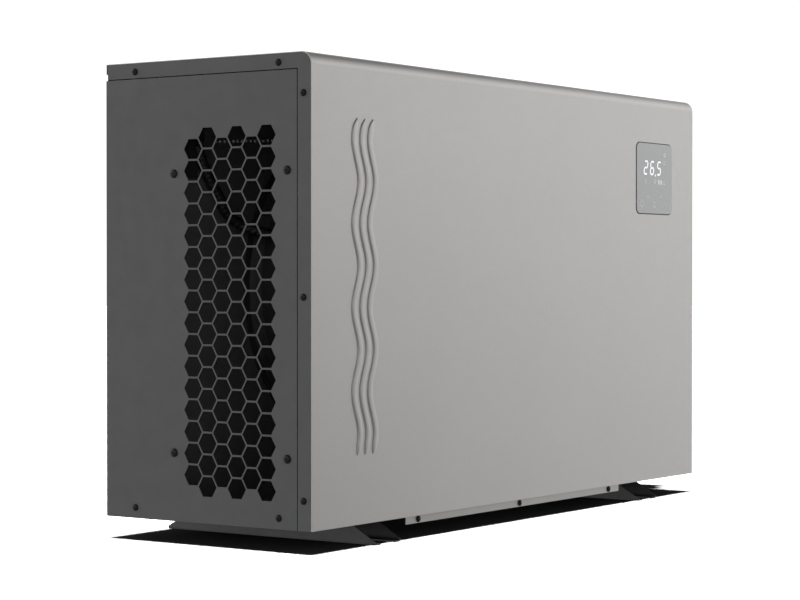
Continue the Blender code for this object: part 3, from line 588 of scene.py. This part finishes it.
def ring_of_blocks(name, count, size, middle, place):
    """Blocks spaced round an axis along x, the first of them at its middle."""
    bm = bmesh.new()
    for number in range(count):
        turn = Matrix.Rotation(2 * math.pi * number / count, 3, "X")
        verts = bmesh.ops.create_cube(bm, size=1.0)["verts"]
        bmesh.ops.scale(bm, vec=size, verts=verts)
        bmesh.ops.translate(bm, vec=middle, verts=verts)
        bmesh.ops.rotate(bm, matrix=turn, cent=(0, 0, 0), verts=verts)
    return from_bmesh(name, bm, "+Z", place)


# --- Outlines -------------------------------------------------------------------------------------
def circle(centre, radius, sides=48):
    angles = [2 * math.pi * index / sides for index in range(sides)]
    return [(centre[0] + radius * math.cos(a), centre[1] + radius * math.sin(a)) for a in angles]


def arc(centre, radius, start, stop, steps):
    """Points on an arc between two angles in degrees."""
    angles = [math.radians(start + (stop - start) * index / steps) for index in range(steps + 1)]
    return [(centre[0] + radius * math.cos(a), centre[1] + radius * math.sin(a)) for a in angles]


def rectangle(low, high):
    return [(low[0], low[1]), (high[0], low[1]), (high[0], high[1]), (low[0], high[1])]


def rounded_rectangle(low, high, radius, steps=8):
    points = []
    left, right = low[0] + radius, high[0] - radius
    bottom, top = low[1] + radius, high[1] - radius
    for quarter, middle in enumerate(((right, top), (left, top), (left, bottom), (right, bottom))):
        points += arc(middle, radius, 90 * quarter, 90 * quarter + 90, steps)
    return points


def hexagon(centre, across_flats):
    return circle(centre, across_flats / math.sqrt(3), 6)


def vent_holes():
    """Honeycomb of the side vent: six columns, long and short in turn."""
    holes = []
    columns, long_column = 6, 17
    for column in range(columns):
        count = long_column - column % 2
        across = VENT_MIDDLE[0] + (column - (columns - 1) / 2) * VENT_COLUMN_PITCH
        for row in range(count):
            up = VENT_MIDDLE[1] + (row - (count - 1) / 2) * VENT_ROW_PITCH
            holes.append(hexagon((across, up), VENT_FLATS))
    return holes


# --- Casing ---------------------------------------------------------------------------------------
def cover():
    """The silver sheet: front, rounded bend, top and rear lip, with the display's window cut in it."""
    profile = [(0.0, 0.0), *arc((COVER_BEND, HEIGHT - COVER_BEND), COVER_BEND, 180, 90, 20)]
    profile += [(DEPTH, HEIGHT), (DEPTH, HEIGHT - COVER_LIP)]
    bm = bmesh.new()
    points = [bm.verts.new((0.0, y, z)) for y, z in profile]
    edges = [bm.edges.new(pair) for pair in zip(points, points[1:])]
    swept = bmesh.ops.extrude_edge_only(bm, edges=edges)["geom"]
    far = [item for item in swept if isinstance(item, bmesh.types.BMVert)]
    bmesh.ops.translate(bm, vec=(WIDTH, 0, 0), verts=far)
    bm.normal_update()
    bm.faces.ensure_lookup_table()
    if bm.faces[0].normal.y > 0:
        bmesh.ops.reverse_faces(bm, faces=bm.faces)
    sheet = walled(from_bmesh("cover_sheet", bm), SHEET)
    low, high = box("display_glass")
    gap = 0.0003
    window = rounded_rectangle((low.x - gap, low.z - gap), (high.x + gap, high.z + gap), WINDOW_CORNER + gap)
    tool = plate("window_cut", [window], 0.02, "-Y", (0, 0, 0))
    cut(sheet, tool)
    softened(sheet, 0.0004, 2, 40.0)
    node = "front_top_cover"
    present(settled(sheet, tool), silver_paint, stands_for=[node], sharp=25.0)


def wave_outline(middle, swing):
    """A wavy band about an upright line, coming to a point at both ends."""
    bottom, top = WAVE_Z
    steps = 24 * WAVES
    left, right = [], []
    for index in range(steps + 1):
        part = index / steps
        phase = 2 * math.pi * WAVES * part
        x = middle + swing * math.sin(phase)
        z = bottom + (top - bottom) * part
        slope = swing * math.cos(phase) * 2 * math.pi * WAVES / (top - bottom)
        length = math.hypot(slope, 1.0)
        from_end = min(1.0, min(part, 1 - part) / WAVE_POINT)
        half = WAVE_WIDTH / 2 * math.sin(math.pi / 2 * from_end)
        right.append((x + half / length, z - half * slope / length))
        left.append((x - half / length, z + half * slope / length))
    return right + left[::-1]


def pressed_waves():
    """Plain upright wave ribs pressed into the front, side by side."""
    left, right = WAVE_X
    spare = right - left - WAVE_WIDTH
    swing = spare / (2 * WAVE_RIBS + 1.2)
    for lane in range(WAVE_RIBS):
        middle = left + WAVE_WIDTH / 2 + swing + (spare - 2 * swing) * lane / (WAVE_RIBS - 1)
        outline = wave_outline(middle, swing)
        rib = plate(f"pressed_wave_{lane + 1}", [outline], 2 * WAVE_RELIEF, "-Y", (0, 0, 0), 0.0015)
        present(rib, silver_paint)


def edge_outline(inset, overrun):
    """Side view of an edge frame: inset draws its outer edge in, and overrun moves its inner edge on."""
    front, top = SKIN + inset, HEIGHT - SKIN - inset
    rear = box("left_edge_frame")[1].y - inset
    corner = arc((COVER_BEND, HEIGHT - COVER_BEND), COVER_BEND - SKIN - inset, 180, 90, 16)
    inner_z, inner_y = HEIGHT - EDGE_TOP - overrun, EDGE_FRONT + overrun
    return [(front, -overrun), *corner, (rear, top), (rear, inner_z), (inner_y, inner_z), (inner_y, -overrun)]


def edge_frames():
    """The folded strips along the top and front of each side."""
    hollow = 0.030
    for word, side, inward in (("left", 0.0, 1), ("right", WIDTH, -1)):
        middle = side + inward * EDGE_FLANGE / 2
        strip = plate(f"{word}_edge_strip", [edge_outline(0, 0)], EDGE_FLANGE, "+X", (middle, 0, 0))
        middle = side + inward * (SHEET + hollow / 2)
        tool = plate("edge_hollow", [edge_outline(SHEET, 0.01)], hollow, "+X", (middle, 0, 0))
        cut(strip, tool)
        softened(strip, 0.0003, 2, 40.0)
        node = f"{word}_edge_frame"
        present(settled(strip, tool), dark_paint, stands_for=[node], sharp=25.0)


def side_panels():
    """The vent panel on the left and the connection panel on the right, with a joint to the edge frames."""
    front, top = SIDE_LOW.y + 0.0005, SIDE_HIGH.z - 0.0004
    outer = rounded_rectangle((front, SIDE_LOW.z), (SIDE_HIGH.y, top), 0.0012, 3)
    bolts = [circle((y, z), BOLT_HOLE, 12) for y in BOLT_Y for z in BOLT_Z]
    vent = plate("vent_panel", [outer, *vent_holes(), *bolts], SHEET, "+X", (SHEET / 2, 0, 0), PANEL_EDGE)
    present(vent, dark_paint, stands_for=["left_side_panel"])
    holes = []
    for word in ("inlet", "outlet"):
        port = f"{word}_port"
        holes.append(circle((box(port)[0].y + PORT_COLLAR, side_middle(port)[1]), PORT_HOLE))
    holes.append(circle(side_middle("power_cable_gland"), GLAND_HOLE))
    plain = plate("connection_panel", [outer, *holes], SHEET, "+X", (WIDTH - SHEET / 2, 0, 0), PANEL_EDGE)
    present(plain, dark_paint, stands_for=["right_side_panel"])


def rear_sheet():
    """Rear panel with the coil window and the louvres' slots beside it."""
    low, high = box("rear_panel")
    outer = rounded_rectangle((low.x, low.z), (high.x, high.z), 0.001, 2)
    window = rounded_rectangle(*COIL_WINDOW, 0.012)
    slots = [rectangle((x, z), (x + LOUVRE_LENGTH, z + LOUVRE_SLOT)) for x in LOUVRE_X for z in LOUVRE_Z]
    panel = plate("rear_sheet", [outer, window, *slots], SHEET, "-Y", (0, high.y - SHEET / 2, 0), 0.0002)
    present(panel, dark_paint, stands_for=["rear_panel"])


def rear_louvres():
    """A bowed hood over each slot, open below and closed at its ends."""
    wall = box("rear_panel")[1].y
    rise, drop, run_out = 0.0028, 0.010, 0.006
    bow = ((0.55, 0.0), (0.48, 0.45), (0.3, 0.8), (0.0, 1.0))
    ends = ((0.0, 0.0), (run_out, rise), (LOUVRE_LENGTH - run_out, rise), (LOUVRE_LENGTH, 0.0))
    bm = bmesh.new()
    for x in LOUVRE_X:
        for z in LOUVRE_Z:
            rings = []
            for along, depth in ends:
                points = [(x + along, wall + out * depth, z + up * drop) for up, out in bow]
                rings.append([bm.verts.new(point) for point in points])
            for first, second in zip(rings, rings[1:]):
                for index in range(len(bow) - 1):
                    bm.faces.new((first[index], second[index], second[index + 1], first[index + 1]))
    bmesh.ops.recalc_face_normals(bm, faces=bm.faces)
    hood = walled(from_bmesh("rear_louvres", bm), 0.0008, 0.0)
    present(settled(hood), dark_paint, sharp=60.0)


def coil_guard():
    """Close upright wires on thicker crossbars, with a border at each side."""
    low, high = box("rear_coil_guard")
    thick, thin, edge = 0.0015, 0.0011, 0.004
    uprights, crossbars = 52, 7
    left, right, bottom, top = low.x + edge, high.x - edge, low.z + edge, high.z - edge
    y = low.y + thin
    runs = []
    for index in range(uprights):
        x = left + (right - left) * index / (uprights - 1)
        runs.append([(x, y, bottom), (x, y, top)])
    guard = wires("guard_uprights", runs, thin, 1)
    present(guard, black_steel, stands_for=["rear_coil_guard"])
    y = high.y - thick
    runs = []
    for index in range(crossbars):
        z = bottom + (top - bottom) * index / (crossbars - 1)
        runs.append([(left, y, z), (right, y, z)])
    runs += [[(x, y, bottom), (x, y, top)] for x in (left, right)]
    present(wires("guard_crossbars", runs, thick, 2), black_steel)


def coil():
    """Thin pressed fins on the rows of copper tube."""
    low, high = box("evaporator_fins")
    bm = bmesh.new()
    pitch, thick = 0.0025, 0.00035
    count = int((high.x - low.x) / pitch)
    for index in range(count):
        x = low.x + pitch * (index + 0.5)
        fin = bmesh.ops.create_cube(bm, size=1.0)["verts"]
        bmesh.ops.scale(bm, vec=(thick, high.y - low.y, high.z - low.z), verts=fin)
        bmesh.ops.translate(bm, vec=(x, (low.y + high.y) / 2, (low.z + high.z) / 2), verts=fin)
    fins = from_bmesh("coil_fins", bm)
    present(fins, fin_aluminium, stands_for=["evaporator_fins"])
    rows, reach = 22, 0.004
    runs = []
    for column, y in enumerate((low.y + 0.010, high.y - 0.010)):
        for row in range(rows):
            z = low.z + (high.z - low.z) * (row + 0.5 + 0.25 * (column * 2 - 1)) / rows
            runs.append([(low.x - reach, y, z), (high.x + reach, y, z)])
    present(wires("coil_tubes", runs, 0.0036, 1), copper)


def rail_half(side, low, high):
    """Half of a rail's section, from its crown down round its lip and up again inside; side is -1 or 1."""
    outer = low.x if side < 0 else high.x
    crown, heel, inner_bend = high.z - RAIL_BEND, low.z + RAIL_BEND, RAIL_BEND - RAIL_WALL
    bends = ((crown, RAIL_BEND, 90, 180), (heel, RAIL_BEND, 180, 270), (heel, inner_bend, 270, 180),
             (crown, inner_bend, 180, 90))
    turns = []
    for z, radius, start, stop in bends:
        if side > 0:
            start, stop = 180 - start, 180 - stop
        turns.append(arc((outer - side * RAIL_BEND, z), radius, start, stop, 5))
    lip_end = outer - side * RAIL_LIP
    return turns[0] + turns[1] + [(lip_end, low.z), (lip_end, low.z + RAIL_WALL)] + turns[2] + turns[3]


def foot_rails():
    """Pressed channels with rounded bends, inward lips and sloping toes."""
    for word in ("left", "right"):
        low, high = box(f"{word}_foot_rail")
        section = rail_half(-1, low, high) + rail_half(1, low, high)[::-1]
        rail = plate(f"{word}_rail", [section], high.y - low.y, "-Y", (0, (low.y + high.y) / 2, 0))
        before, beyond = 0.01, 0.10
        bottom = low.z + RAIL_TOE - before * RAIL_SLOPE
        top = low.z + RAIL_TOE + beyond * RAIL_SLOPE
        tools = []
        for end, inward in ((low.y, 1), (high.y, -1)):
            outside = end - inward * before
            wedge = [(outside, bottom), (end + inward * beyond, top), (outside, top)]
            tools.append(plate(f"toe_cut_{len(tools)}", [wedge], 0.1, "+X", ((low.x + high.x) / 2, 0, 0)))
        cut(rail, *tools)
        softened(rail, 0.0003, 1, 50.0)
        node = f"{word}_foot_rail"
        present(settled(rail, *tools), black_steel, stands_for=[node])


# --- Fasteners ------------------------------------------------------------------------------------
def screw_mesh(name, radius, rise, recess):
    """A domed head with a cross recess."""
    profile = [(0.0, rise)]
    for index in range(1, 7):
        angle = math.radians(15 * index)
        profile.append((radius * math.sin(angle), rise * (0.25 + 0.75 * math.cos(angle))))
    profile += [(radius, 0.0), (0.0, 0.0)]
    head = turned(name, profile, "+Z", (0, 0, 0), 28)
    tools = []
    for number in range(2):
        arm = bmesh.new()
        bmesh.ops.create_cube(arm, size=1.0)
        bmesh.ops.scale(arm, vec=(recess * 2, recess * 0.42, rise), verts=arm.verts)
        tool = from_bmesh(f"{name}_arm_{number}", arm, "+Z", (0, 0, rise * 0.95))
        tool.rotation_euler.z = number * math.pi / 2
        tools.append(tool)
    cut(head, *tools)
    made = settled(head, *tools)
    mesh = made.data
    bpy.data.objects.remove(made, do_unlink=True)
    return mesh


def drive(name, mesh, places, facing, most_turn=math.pi, node=None):
    """Screws that share one mesh, each with its slot turned differently; node names those they stand for."""
    for number, place in enumerate(places, 1):
        screw = pose(bpy.data.objects.new(f"{name}_{number}", mesh), facing, place)
        screw.matrix_world = screw.matrix_world @ Matrix.Rotation(DRAW.uniform(0, most_turn), 4, "Z")
        stands_for = [f"{node}_{number}"] if node else ()
        present(screw, blackened_screw, stands_for=stands_for)


def fasteners():
    small = screw_mesh("pan_screw", *SMALL_SCREW)
    large = screw_mesh("grille_screw", *LARGE_SCREW)
    seat = 0.0001
    for word, x, facing in (("left", -seat, "-X"), ("right", WIDTH + seat, "+X")):
        drive(f"{word}_case_screw", small, [(x, y, z) for y, z in EDGE_SCREWS + SIDE_SCREWS], facing)
    places = [(-seat, *side_middle(f"grille_bolt_{number}")) for number in range(1, 5)]
    drive("vent_bolt", large, places, "-X", 1.5, "grille_bolt")
    places = []
    for number in range(1, 4):
        low, high = box(f"strip_screw_{number}")
        places.append(((low.x + high.x) / 2, 0.0116, (low.z + high.z) / 2))
    drive("front_screw", small, places, "-Y", 1.5, "strip_screw")
    back = box("rear_panel")[1].y + seat
    places = [(x, back, z) for x in (0.020, 0.400, 0.790, 1.040) for z in (0.020, 0.598)]
    drive("rear_screw", small, places, "+Y")
    low, high = box("terminal_cover")
    inset = 0.010
    heights = (low.z + inset, high.z - inset)
    places = [(high.x, y, z) for y in (low.y + inset, high.y - inset) for z in heights]
    drive("terminal_screw", small, places, "+X")


# --- Display --------------------------------------------------------------------------------------
def seven_segment(digit, x, z, height, lean, stroke):
    """The bars of one figure as outlines, leaning to the right."""
    lit = {"2": "abged", "6": "afgedc", "5": "afgcd"}[digit]
    width, half = height * 0.52, height / 2
    gap = stroke * 0.18
    ends = {
        "a": ((0, height), (width, height)), "g": ((0, half), (width, half)), "d": ((0, 0), (width, 0)),
        "f": ((0, half), (0, height)), "b": ((width, half), (width, height)),
        "e": ((0, 0), (0, half)), "c": ((width, 0), (width, half)),
    }
    bars = []
    for name in lit:
        (x0, z0), (x1, z1) = ends[name]
        along = Vector((x1 - x0, z1 - z0)).normalized()
        across = Vector((-along.y, along.x)) * stroke / 2
        start = Vector((x0, z0)) + along * gap
        end = Vector((x1, z1)) - along * gap
        tip = stroke / 2
        points = [start, start + along * tip + across, end - along * tip + across,
                  end, end - along * tip - across, start + along * tip - across]
        bars.append([(x + point.x + lean * point.y, z + point.y) for point in points])
    return bars


def stroke_path(points, width):
    """The outline of an open line of the given width."""
    left, right = [], []
    for index, point in enumerate(points):
        before = Vector(points[max(index - 1, 0)])
        after = Vector(points[min(index + 1, len(points) - 1)])
        along = (after - before).normalized()
        across = Vector((-along.y, along.x)) * width / 2
        left.append(tuple(Vector(point) + across))
        right.append(tuple(Vector(point) - across))
    return left + right[::-1]


def touch_window():
    """Smoked window with a dark seal round it."""
    low, high = box("display_glass")
    inset, rim, thick = 0.0008, 0.0006, 0.0026
    corner = WINDOW_CORNER - inset
    pane = rounded_rectangle((low.x + inset, low.z + inset), (high.x - inset, high.z - inset), corner)
    glass = plate("touch_window", [pane], thick, "-Y", (0, thick / 2 - WINDOW_PROUD, 0), 0.0003)
    present(glass, display_glass, stands_for=["display_glass"])
    outer = rounded_rectangle((low.x - rim, low.z - rim), (high.x + rim, high.z + rim), WINDOW_CORNER + rim)
    seal = plate("window_seal", [outer, pane], 0.0008, "-Y", (0, 0.0002, 0), 0.0001)
    present(seal, rubber_seal)


def on_window(across, down):
    """A place on the window, by shares of its width and of its height from the top."""
    low, high = box("display_glass")
    return low.x + (high.x - low.x) * across, high.z - (high.z - low.z) * down


def hoop(centre, outer, inner, sides):
    return [circle(centre, outer, sides), circle(centre, inner, sides)]


def sign(name, outlines, maker):
    """A thin figure or mark on the window's face."""
    piece = plate(name, outlines, 0.0001, "-Y", (0, -WINDOW_PROUD - 0.00005, 0))
    present(piece, maker)


def lit_signs():
    """Lit temperature, small round signs and status bars."""
    low, high = box("display_glass")
    height, lean, stroke = (high.z - low.z) * 0.177, 0.13, 0.0026
    white = (lit_figure, "lit_white", 0.85)
    for number, (digit, across) in enumerate((("2", 0.205), ("6", 0.380), ("5", 0.575)), 1):
        bars = seven_segment(digit, *on_window(across, 0.438), height, lean, stroke)
        for index, bar in enumerate(bars, 1):
            sign(f"figure_{number}_bar_{index}", [bar], white)
    sign("decimal_point", [circle(on_window(0.528, 0.452), 0.0016, 20)], white)
    sign("degree_sign", hoop(on_window(0.79, 0.155), 0.0034, 0.0018, 24), (lit_figure, "lit_dim", 0.30))
    small = (("heat", 0.78, 0.265, 0.20), ("fan", 0.25, 0.540, 0.22), ("pump", 0.51, 0.537, 0.32),
             ("clock", 0.77, 0.552, 0.22))
    for name, across, down, glow in small:
        outlines = hoop(on_window(across, down), 0.0036, 0.0023, 20)
        sign(f"{name}_sign", outlines, (lit_figure, f"lit_{name}", glow))
    for number, across in enumerate((0.605, 0.645, 0.685), 1):
        x, z = on_window(across, 0.514)
        bar = rectangle((x, z - 0.0072), (x + 0.0026, z))
        sign(f"status_bar_{number}", [bar], (lit_figure, "lit_status", 0.42))


def touch_marks():
    """Faint marks of the touch keys: power, minus, mode, up and down."""
    x, z = on_window(0.145, 0.848)
    sign("power_mark", [stroke_path(arc((x, z), 0.0060, 120, 420, 28), 0.0014)], print_grey_painted_glow)
    sign("power_stem", [rectangle((x - 0.0006, z + 0.0015), (x + 0.0006, z + 0.0078))], print_grey_painted_glow)
    sign("minus_mark", [rectangle(on_window(0.28, 0.763), on_window(0.365, 0.752))], print_grey_painted_glow)
    sign("mode_mark", hoop(on_window(0.50, 0.862), 0.0052, 0.0037, 28), print_grey_painted_glow)
    reach = 0.0060
    for name, across, down, way in (("up", 0.68, 0.755, 1), ("down", 0.835, 0.85, -1)):
        x, z = on_window(across, down)
        tip, foot = z + way * reach / 2, z - way * reach / 2
        arrow = stroke_path([(x - reach, foot), (x, tip), (x + reach, foot)], 0.0015)
        sign(f"{name}_mark", [arrow], print_grey_painted_glow)


# --- Right side fittings --------------------------------------------------------------------------
def collar_face(word):
    """Outer face of a socket's collar, which its nut holds."""
    return box(f"{word}_port")[1].x + 0.007


def union_nut(word):
    """Hollow nut with rounded grips."""
    node = f"{word}_union_nut"
    body = f"{word}_nut"
    start, end = (corner.x for corner in box(node))
    place = (0, *side_middle(node))
    inside = collar_face(word) + 0.0003
    profile = [(0.0288, end), (0.0380, end), (0.0402, end - 0.0008), (0.0410, end - 0.0025),
               (0.0410, end - 0.006), (0.0415, end - 0.007), (0.0415, start + 0.003), (0.0410, start + 0.001),
               (0.0400, start), (0.0363, start), (0.0363, inside), (0.0288, inside)]
    nut = turned(body, profile, "+X", place, 72, ring=True)
    present(softened(settled(nut), 0.0004, 2), black_plastic, body, [node])
    size, middle = (end - start - 0.009, 0.011, 0.006), ((start + end) / 2 - 0.0035, 0, 0.0408)
    grips = ring_of_blocks(f"{word}_nut_grips", 12, size, middle, place)
    present(settled(softened(grips, 0.0016, 3)), black_plastic, body, sharp=60.0)


def union_socket(word):
    """Socket for the pipe, and the rubber washer where its port passes the panel."""
    low, high = box(f"{word}_socket")
    place = (0, *side_middle(f"{word}_union_nut"))
    bore, outer, throat, collar = SOCKET_BORE, SOCKET_OUTER, SOCKET_BORE - 0.003, collar_face(word)
    profile = [(outer - 0.0008, high.x), (outer, high.x - 0.0008), (outer, high.x - 0.010),
               (outer - 0.0008, high.x - 0.011), (outer - 0.0008, collar + 0.001), (SOCKET_COLLAR, collar),
               (SOCKET_COLLAR, low.x), (throat, low.x), (throat, collar),
               (bore, collar + 0.001), (bore, high.x - 0.0012), (bore + 0.0010, high.x)]
    tube = turned(f"{word}_tail", profile, "+X", place, 72, ring=True)
    present(settled(tube), grey_pvc, stands_for=[f"{word}_socket"])
    near, far = WIDTH + 0.0002, WIDTH + 0.0018
    profile = [(0.0365, far), (0.0370, far - 0.0006), (0.0370, near), (0.0270, near), (0.0270, far)]
    washer = turned(f"{word}_washer", profile, "+X", place, 64, ring=True)
    present(settled(washer), rubber_seal)


def terminal_lid():
    low, high = box("terminal_cover")
    outline = rounded_rectangle((low.y, low.z), (high.y, high.z), 0.006)
    lid = plate("terminal_lid", [outline], high.x - low.x, "+X", ((low.x + high.x) / 2, 0, 0), 0.0028)
    present(lid, dark_paint, stands_for=["terminal_cover"])


def cable_gland():
    """Hexagon body, domed nut with fine grips, and the seal in its throat."""
    reach = box("power_cable_gland")[1].x - WIDTH
    middle = side_middle("power_cable_gland")
    bore, thick = 0.0055, 0.007
    outlines = [hexagon(middle, 0.024), circle(middle, 0.0085)]
    flats = plate("gland_hexagon", outlines, thick, "+X", (WIDTH + 0.0003 + thick / 2, 0, 0), 0.0006)
    present(flats, black_plastic, stands_for=["power_cable_gland"])
    profile = [(bore + 0.0006, reach), (0.0080, reach - 0.0004), (0.0102, reach - 0.0030),
               (0.0116, reach - 0.0080), (0.0120, 0.0100), (0.0120, 0.0074), (bore, 0.0074),
               (bore, reach - 0.0008)]
    dome = turned("gland_nut", profile, "+X", (WIDTH, *middle), 48, ring=True)
    present(settled(dome), black_plastic)
    size, first = (0.010, 0.0018, 0.0014), (WIDTH + 0.0132, 0, 0.0121)
    grips = ring_of_blocks("gland_grips", 12, size, first, (0, *middle))
    present(settled(softened(grips, 0.0004, 2)), black_plastic)
    outer, inner = 0.0056, 0.0045
    profile = [(outer, reach - 0.004), (outer, 0.0), (inner, 0.0), (inner, reach - 0.004)]
    throat = turned("gland_seal", profile, "+X", (WIDTH, *middle), 32, ring=True)
    present(settled(throat), rubber_seal)


# --- Inside ---------------------------------------------------------------------------------------
def shade_foam_pad(name, low, high, edge=0.002):
    present(settled(softened(block(name, low, high), edge, 2)), painted_shade_foam)


def lining():
    """Black foam on the walls of the air plenum behind the side vent, and two blocks in its rear top corner:
    dark pieces that paint the shade inside the plenum.
    """
    low, high = box("partition_wall")
    back = box("fan_bulkhead")[0].y
    step = 0.002
    near, far = (low.x - 0.008, low.y + step, low.z + 0.004), (low.x - 0.0004, back - step, high.z - step)
    shade_foam_pad("partition_shade_foam", near, far)
    shade_foam_pad("roof_shade_foam", (0.020, 0.020, HEIGHT - 0.0115), (low.x - 0.010, back - step, HEIGHT - 0.0022))
    shade_foam_pad("corner_shade_foam_1", (0.018, back - 0.008, 0.4630), (0.046, back - 0.0004, 0.5120), 0.001)
    shade_foam_pad("corner_shade_foam_2", (0.018, back - 0.008, 0.5124), (0.060, back - 0.0004, 0.6060), 0.001)


def bulkhead_rivets():
    """A row of rivets along the bulkhead's top rail, their near-white heads painted glints."""
    front = box("fan_bulkhead")[0].y
    bm = bmesh.new()
    for number in range(14):
        head = bmesh.ops.create_uvsphere(bm, u_segments=12, v_segments=6, radius=0.0022)["verts"]
        bmesh.ops.scale(bm, vec=(1, 0.6, 1), verts=head)
        place = (0.094 + 0.0097 * number, front, 0.5150 + 0.0006 * number)
        bmesh.ops.translate(bm, vec=place, verts=head)
    present(from_bmesh("bulkhead_rivets", bm), painted_glint_white)


def motor_lead():
    """The fan motor's lead, in its conduit across the bulkhead."""
    radius = 0.0075
    lane = box("fan_bulkhead")[0].y - radius
    motor = box("fan_motor")
    path = [(0.044, lane, 0.508), (0.064, lane, 0.468), (0.092, lane, 0.440), (0.104, lane, 0.419),
            (0.133, lane, 0.402), (0.160, lane - 0.030, 0.388), (0.235, motor[1].y - 0.012, 0.375),
            (motor[0].x + 0.012, motor[1].y - 0.030, 0.352)]
    curve = bpy.data.curves.new("motor_lead", "CURVE")
    curve.dimensions = "3D"
    curve.bevel_depth = radius
    curve.use_fill_caps = True
    spline = curve.splines.new("NURBS")
    spline.points.add(len(path) - 1)
    for point, place in zip(spline.points, path):
        point.co = (*place, 1.0)
    spline.use_endpoint_u = True
    spline.order_u = 3
    spline.resolution_u = 12
    lead = settled(pose(bpy.data.objects.new("motor_lead", curve), "+Z", (0, 0, 0)))
    present(lead, conduit_black, sharp=80.0)


def plain_nodes():
    """CAD pieces whose shape is right take their finishes."""
    makers = (silver_paint, dark_paint, black_steel, zinc_sheet, black_plastic, display_glass, fin_aluminium,
              copper, brass, compressor_enamel, grey_pvc, circuit_board, titanium)
    finishes = {maker.__name__: (maker,) for maker in makers}
    # The fixing strip takes a darker copy of the silver paint: painted shade for the strip tucked under the
    # cover's lower edge.
    special = {"front_fixing_strip": (silver_paint, "strip_silver", 0.80)}
    # The bulkhead, partition, base pan and motor bracket take the dark sheet, painted shade for the inside of
    # the casing.
    for name in ("fan_bulkhead", "partition_wall", "base_pan", "fan_motor_bracket"):
        special[name] = (painted_shade_sheet,)
    for subpart in frame["record"]["subparts"]:
        name = subpart["node"]
        finish = special.get(name, finishes[subpart["material_slot"]])
        for slot in frame["nodes"][name].material_slots:
            slot.material = material(*finish)


# --- Studio ---------------------------------------------------------------------------------------
def camera_only(piece, maker):
    """Part of the set: seen from the camera, with no light from it on the unit."""
    piece.data.materials.append(material(maker))
    piece.visible_diffuse = False
    piece.visible_glossy = False
    piece.visible_shadow = False


def backdrop_white():
    paint = Paint("backdrop_white", (0.0, 0.0, 0.0), 1.0, Emission_Strength=1.2, Specular_IOR_Level=0.0)
    paint.set("Emission Color", paint.mix(paint.noise(0.2, 1.0), (0.98, 0.98, 0.98, 1), (1, 1, 1, 1)))
    return paint


def set_pieces():
    """The floor with a light of its own, and the white surround that stands behind it."""
    reach = 24.0
    bm = bmesh.new()
    bmesh.ops.create_grid(bm, x_segments=1, y_segments=1, size=reach)
    floor = join_scene(from_bmesh("floor", bm))
    floor.location = (0, 0, CAD_BOX[0][2] - 0.0002)
    camera_only(floor, floor_paint)
    bm = bmesh.new()
    bmesh.ops.create_uvsphere(bm, u_segments=48, v_segments=24, radius=reach)
    camera_only(join_scene(from_bmesh("backdrop", bm)), backdrop_white)
    lamp = bpy.data.lights.new("floor_light", "SUN")
    lamp.energy = FLOOR_LIGHT
    lamp.angle = math.radians(12)
    light = join_scene(bpy.data.objects.new("floor_light", lamp))
    lit = bpy.data.collections.new("lit_floor")
    lit.objects.link(floor)
    light.light_linking.receiver_collection = lit


def soft_panel(sky, view, direction, inner, outer, strength):
    """A round soft light far away: full inside one angle, none outside the other."""
    towards = Vector(direction).normalized()
    facing = sky.node("ShaderNodeVectorMath", {"operation": "DOT_PRODUCT"}, {0: view, 1: towards}, "Value")
    none, full = (math.cos(math.radians(angle)) for angle in (outer, inner))
    inputs = {"Value": facing, "From Min": none, "From Max": full, "To Min": 0.0, "To Max": strength}
    return sky.node("ShaderNodeMapRange", {"interpolation_type": "SMOOTHERSTEP"}, inputs)


def studio():
    world = bpy.data.worlds.new("studio")
    world.use_nodes = True
    bpy.context.scene.world = world
    sky = Nodes(world.node_tree)
    view = sky.node("ShaderNodeTexCoord", output="Generated")
    height = sky.node("ShaderNodeSeparateXYZ", inputs={0: view}, output="Z")
    light = sky.node("ShaderNodeValToRGB", {"stops": SKY}, {0: height * 0.5 + 0.5})
    for panel in PANELS:
        light = light + soft_panel(sky, view, *panel)
    sky.feed(world.node_tree.nodes["Background"].inputs["Color"], light)
    bpy.context.scene.view_settings.view_transform = "Standard"


def camera():
    lens = bpy.data.cameras.new("camera")
    lens.lens = LENS
    lens.sensor_width = 36.0
    eye = join_scene(bpy.data.objects.new("camera", lens))
    eye.location = COVER_LOW + Vector(EYE)
    eye.rotation_euler = (math.radians(90 + EYE_PITCH), 0, math.radians(-EYE_YAW))
    bpy.context.scene.camera = eye


plain_nodes()
cover()
pressed_waves()
edge_frames()
side_panels()
rear_sheet()
rear_louvres()
coil_guard()
coil()
foot_rails()
fasteners()
touch_window()
lit_signs()
touch_marks()
for word in ("inlet", "outlet"):
    union_nut(word)
    union_socket(word)
terminal_lid()
cable_gland()
lining()
bulkhead_rivets()
motor_lead()
set_pieces()
studio()
camera()
